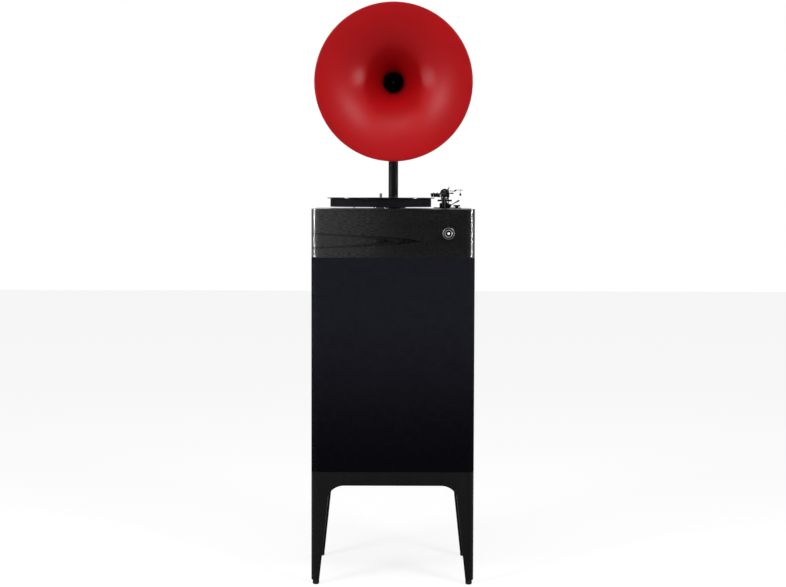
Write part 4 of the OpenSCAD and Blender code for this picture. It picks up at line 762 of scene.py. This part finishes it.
class TURNTABLE_OT_knob(bpy.types.Operator):
    """Adds the front knob's ring, its chrome edge and its white centre, which is a painted highlight"""
    bl_idname = "turntable.knob"
    bl_label = "Knob rings"

    def execute(self, context):
        place = facing((KNOB_AXIS.x, KNOB_LOW.y, KNOB_AXIS.z), (0, -1, 0))
        ring = band(8.6 * MM, 10.4 * MM, -0.8 * MM, 0.4 * MM, 0.5 * MM, steps=96)
        ring.transform(place)
        finish_piece("knob_ring", ring, "dial_ring", "volume", sharp=60)

        # The edge slopes by 24 degrees, so that it turns the lamps' light to the camera
        slope = [(14.2, -0.3), (14.2, 0.2), (14.5, 0.35), (16.15, -0.4), (16.25, -0.7), (16.25, -2.2),
                 (15.2, -2.2)]
        edge = turn([(r * MM, z * MM) for r, z in slope], steps=120, closed=True)
        edge.transform(place)
        bmesh.ops.recalc_face_normals(edge, faces=edge.faces)
        finish_piece("knob_edge_ring", edge, "black_chrome", "volume", sharp=20)

        # The centre dome is painted white: a painted highlight of the lamp on the chrome centre
        crown = arc((0, -8.9 * MM), 9.5 * MM, 90, 69, 8)
        dome = turn(crown + [(3.4 * MM, -0.3 * MM), (0, -0.3 * MM)], steps=48)
        dome.transform(place)
        finish_piece("knob_centre_dome", dome, "painted_highlight_white", "volume", sharp=60)
        return {"FINISHED"}


# The headshell's leads: their spacing and radius, and how far they run forward, sag and drop
LEAD_STEP = 2.4 * MM
LEAD_RADIUS = 0.3 * MM
LEAD_RUN = 26.5 * MM
LEAD_SAG = 5.4 * MM
LEAD_DROP = 4.2 * MM


def lead_point(side, t):
    """A point on a lead in the headshell's frame, from the collar at 0 to the cartridge's pin at 1."""
    return Vector((side * 0.4 + side * 0.6 * t, -9 * MM - LEAD_RUN * t,
                   -3 * MM - LEAD_SAG * math.sin(math.pi * t) ** 0.8 - LEAD_DROP * t))


class TURNTABLE_OT_tonearm(bpy.types.Operator):
    """Adds the tonearm's caps, rings, ribs, leads and screws"""
    bl_idname = "turntable.tonearm"
    bl_label = "Tonearm details"

    def execute(self, context):
        arm, head = arm_frame(), head_frame()
        caps = bmesh.new()
        for side in (-1, 1):
            point = arm @ Vector((side * CHEEK_OUT, 0, 0))
            way = arm.to_3x3() @ Vector((side, 0, 0))
            put(caps, band(1.2 * MM, 4.2 * MM, -0.2 * MM, 1.3 * MM, 0.4 * MM, steps=40), facing(point, way))
        finish_piece("pivot_bearing_caps", caps, "plated_steel", "arm_base")

        dial = bmesh.new()
        front = arm @ Matrix.Translation((0, WEIGHT_FRONT, 0)) @ Matrix.Rotation(math.pi / 2, 4, "X")
        put(dial, band(6.6 * MM, 8.4 * MM, -0.1 * MM, 0.3 * MM, 0.1 * MM, steps=64), front)
        finish_piece("counterweight_dial", dial, "dial_print", "arm_weight")

        knurl = bmesh.new()
        ribs(knurl, 28, COLLAR_RADIUS, 1.2 * MM, 7.8 * MM, 0.3 * MM,
             arm @ Matrix.Translation((0, -COLLAR_AT, 0)) @ Matrix.Rotation(-math.pi / 2, 4, "X"))
        finish_piece("headshell_collar_ribs", knurl, "arm_black", "arm")

        for i, colour in enumerate(("white", "red", "green", "blue")):
            lead = bmesh.new()
            side = (i - 1.5) * LEAD_STEP
            route = [head @ lead_point(side, k / 10) for k in range(11)]
            for start, end in zip(route, route[1:]):
                rod(lead, start, end, LEAD_RADIUS, sides=10)
            finish_piece(f"headshell_lead_{colour}", lead, f"lead_{colour}", "arm")

        mark = bmesh.new()
        block(mark, (-0.35 * MM, -60.95 * MM, -9.5 * MM), (0.35 * MM, -60.7 * MM, -4 * MM), 0.05 * MM)
        mark.transform(head)
        finish_piece("stylus_mark", mark, "lead_white", "arm")

        screws = bmesh.new()
        for x, y in ((-24, -79), (-24, 44), (40, -79), (40, 44)):
            corner = (ARM_PIVOT.x + x * MM, ARM_PIVOT.y + y * MM, BOARD_TOP - 0.95 * MM)
            put(screws, screw_head(2.1 * MM, 1.4 * MM), Matrix.Translation(corner))
        finish_piece("armboard_screws", screws, "plated_steel", "root")

        grips = bmesh.new()
        knob = (ARM_PIVOT.x + 33.5 * MM, ARM_PIVOT.y - 60 * MM, DECK + 5.3 * MM)
        ribs(grips, 40, 9.6 * MM, 0.7 * MM, 2.8 * MM, 0.28 * MM, Matrix.Translation(knob))
        finish_piece("speed_knob_ribs", grips, "matt_black", "speed_switch")

        rings = bmesh.new()
        rise = math.radians(29)  # How steeply the cue lever stands
        along = Vector((math.cos(rise), 0, math.sin(rise)))
        foot = Vector((ARM_PIVOT.x + 14.5 * MM, ARM_PIVOT.y - 40.8 * MM, DECK + 8 * MM))
        for distance, radius in ((18.5, 1.85), (21.5, 2.0), (24.5, 2.15)):
            ring = band((radius - 0.4) * MM, (radius + 0.3) * MM, -0.4 * MM, 0.4 * MM, 0.15 * MM, steps=24)
            put(rings, ring, facing(foot + along * distance * MM, along))
        finish_piece("lever_grip_rings", rings, "plated_steel", "lever")

        # The pad is a ring over the lift's arc, cut off at both of its ends
        pad = band(30.6 * MM, 33.4 * MM, 0, 0.35 * MM, 0.15 * MM, steps=180)
        for turned in (-1, 1):
            way = Matrix.Rotation(turned * math.radians(36.5), 3, "Z") @ Vector((turned, 0, 0))
            cut = bmesh.ops.bisect_plane(pad, geom=pad.verts[:] + pad.edges[:] + pad.faces[:],
                                         plane_co=(0, 0, 0), plane_no=way, clear_outer=True)
            rim = [g for g in cut["geom_cut"] if isinstance(g, bmesh.types.BMEdge)]
            bmesh.ops.contextual_create(pad, geom=rim)
        pad.transform(Matrix.Translation((ARM_PIVOT.x, ARM_PIVOT.y, DECK + 24.5 * MM)))
        bmesh.ops.recalc_face_normals(pad, faces=pad.faces)
        finish_piece("lift_pad", pad, "belt_rubber", "lift")
        return {"FINISHED"}


class TURNTABLE_OT_stand_joints(bpy.types.Operator):
    """Draws dark lines where the aprons meet the legs: painted shade, in place of the shade in the joints'
    narrow grooves
    """
    bl_idname = "turntable.stand_joints"
    bl_label = "Stand joints"

    def execute(self, context):
        half, proud, sink = 0.5 * MM, 0.06 * MM, 0.4 * MM
        lines = bmesh.new()
        for node, across in (("apron_front", 0), ("apron_rear", 0), ("apron_left", 1), ("apron_right", 1)):
            low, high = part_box(node)
            face = 1 - across
            outer = low[face] if abs(low[face]) > abs(high[face]) else high[face]
            side = math.copysign(1, outer)
            for end in (low[across], high[across]):
                a, b = [0, 0, low.z + sink], [0, 0, high.z]
                a[across], b[across] = end - half, end + half
                a[face], b[face] = sorted((outer + side * proud, outer - side * sink))
                block(lines, a, b, 0.02 * MM)
        # Near-black strips in the throat's casting finish: painted shade where the joints' grooves would
        # fall dark
        finish_piece("stand_joint_painted_shade", lines, "throat_black", "root")
        return {"FINISHED"}


class TURNTABLE_OT_rear_fittings(bpy.types.Operator):
    """Adds the sockets' sleeves and inserts, the earth nut, the rocker, the inlet's pins and screws"""
    bl_idname = "turntable.rear_fittings"
    bl_label = "Rear fittings"

    def execute(self, context):
        plate_low, plate_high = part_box("connector_plate")
        middle = (plate_low + plate_high) / 2
        face = PLINTH_HIGH.y + 2 * MM
        back = (0, 1, 0)

        def spot(x, z, out=0.0):
            """A point on the plate, with X to the right as seen from behind."""
            return Vector((middle.x - x * MM, face + out * MM, middle.z + z * MM))

        sleeves = bmesh.new()
        inserts = {"white": bmesh.new(), "red": bmesh.new()}
        for x, colour in ((-72, "white"), (-52, "red"), (-32, "white"), (-12, "red")):
            socket = facing(spot(x, 0), back)
            put(sleeves, band(4.05 * MM, 4.7 * MM, 1.5 * MM, 7.9 * MM, 0.2 * MM, steps=40), socket)
            put(inserts[colour], band(1.65 * MM, 3.9 * MM, 7.5 * MM, 8.15 * MM, 0.15 * MM), socket)
        earth = facing(spot(14, 0), back)
        put(sleeves, band(2.2 * MM, 4.6 * MM, 3.2 * MM, 6.4 * MM, 0.3 * MM, steps=40), earth)
        ribs(sleeves, 30, 4.6 * MM, 3.5 * MM, 6.1 * MM, 0.2 * MM, earth)
        finish_piece("socket_sleeves", sleeves, "brass", "root")
        for colour, bm in inserts.items():
            finish_piece(f"socket_inserts_{colour}", bm, f"lead_{colour}", "root")

        rocker = bmesh.new()
        block(rocker, spot(40.6, -6.2, -1.4), spot(25.4, 6.2, 1.2), 0.9 * MM)
        hinge = spot(33, 0)
        rocker.transform(Matrix.Translation(hinge) @ Matrix.Rotation(math.radians(7), 4, "X")
                         @ Matrix.Translation(-hinge))
        finish_piece("mains_rocker", rocker, "moulded_black", "root")

        pins = bmesh.new()
        for x, z in ((63.5, -1.5), (69, 2), (74.5, -1.5)):
            block(pins, spot(x + 0.9, z - 2, -12.4), spot(x - 0.9, z + 2, -3.5), 0.3 * MM)
        finish_piece("inlet_pins", pins, "brass", "root")

        screws = bmesh.new()
        for x, z in ((-89, -21), (-89, 21), (89, -21), (89, 21)):
            put(screws, screw_head(3 * MM, 1.6 * MM), facing(spot(x, z), back))
        finish_piece("plate_screws", screws, "black_fastener", "root")
        return {"FINISHED"}


class TURNTABLE_PT_panel(bpy.types.Panel):
    """The turntable's sizes, colours and pieces"""
    bl_idname = "TURNTABLE_PT_panel"
    bl_label = "Turntable"
    bl_space_type = "VIEW_3D"
    bl_region_type = "UI"
    bl_category = "Turntable"

    def draw(self, context):
        look = context.scene.turntable_look
        for name in TurntableLook.__annotations__:
            self.layout.prop(look, name)
        for operator in OPERATORS:
            self.layout.operator(operator.bl_idname)


OPERATORS = (TURNTABLE_OT_camera, TURNTABLE_OT_stage, TURNTABLE_OT_finishes, TURNTABLE_OT_horn,
             TURNTABLE_OT_horn_fittings, TURNTABLE_OT_grille, TURNTABLE_OT_knob, TURNTABLE_OT_tonearm,
             TURNTABLE_OT_stand_joints, TURNTABLE_OT_rear_fittings)
CLASSES = (TurntableLook,) + OPERATORS + (TURNTABLE_PT_panel,)


def register():
    """Adds the classes and the settings."""
    for cls in CLASSES:
        bpy.utils.register_class(cls)
    bpy.types.Scene.turntable_look = bpy.props.PointerProperty(type=TurntableLook)


def unregister():
    """Takes the classes and the settings away again."""
    del bpy.types.Scene.turntable_look
    for cls in reversed(CLASSES):
        bpy.utils.unregister_class(cls)


def main():
    """Makes every piece in order."""
    register()
    bpy.ops.turntable.camera()
    bpy.ops.turntable.stage()
    bpy.ops.turntable.finishes()
    bpy.ops.turntable.horn()
    bpy.ops.turntable.horn_fittings()
    bpy.ops.turntable.grille()
    bpy.ops.turntable.knob()
    bpy.ops.turntable.tonearm()
    bpy.ops.turntable.stand_joints()
    bpy.ops.turntable.rear_fittings()


if __name__ == "__main__":
    main()
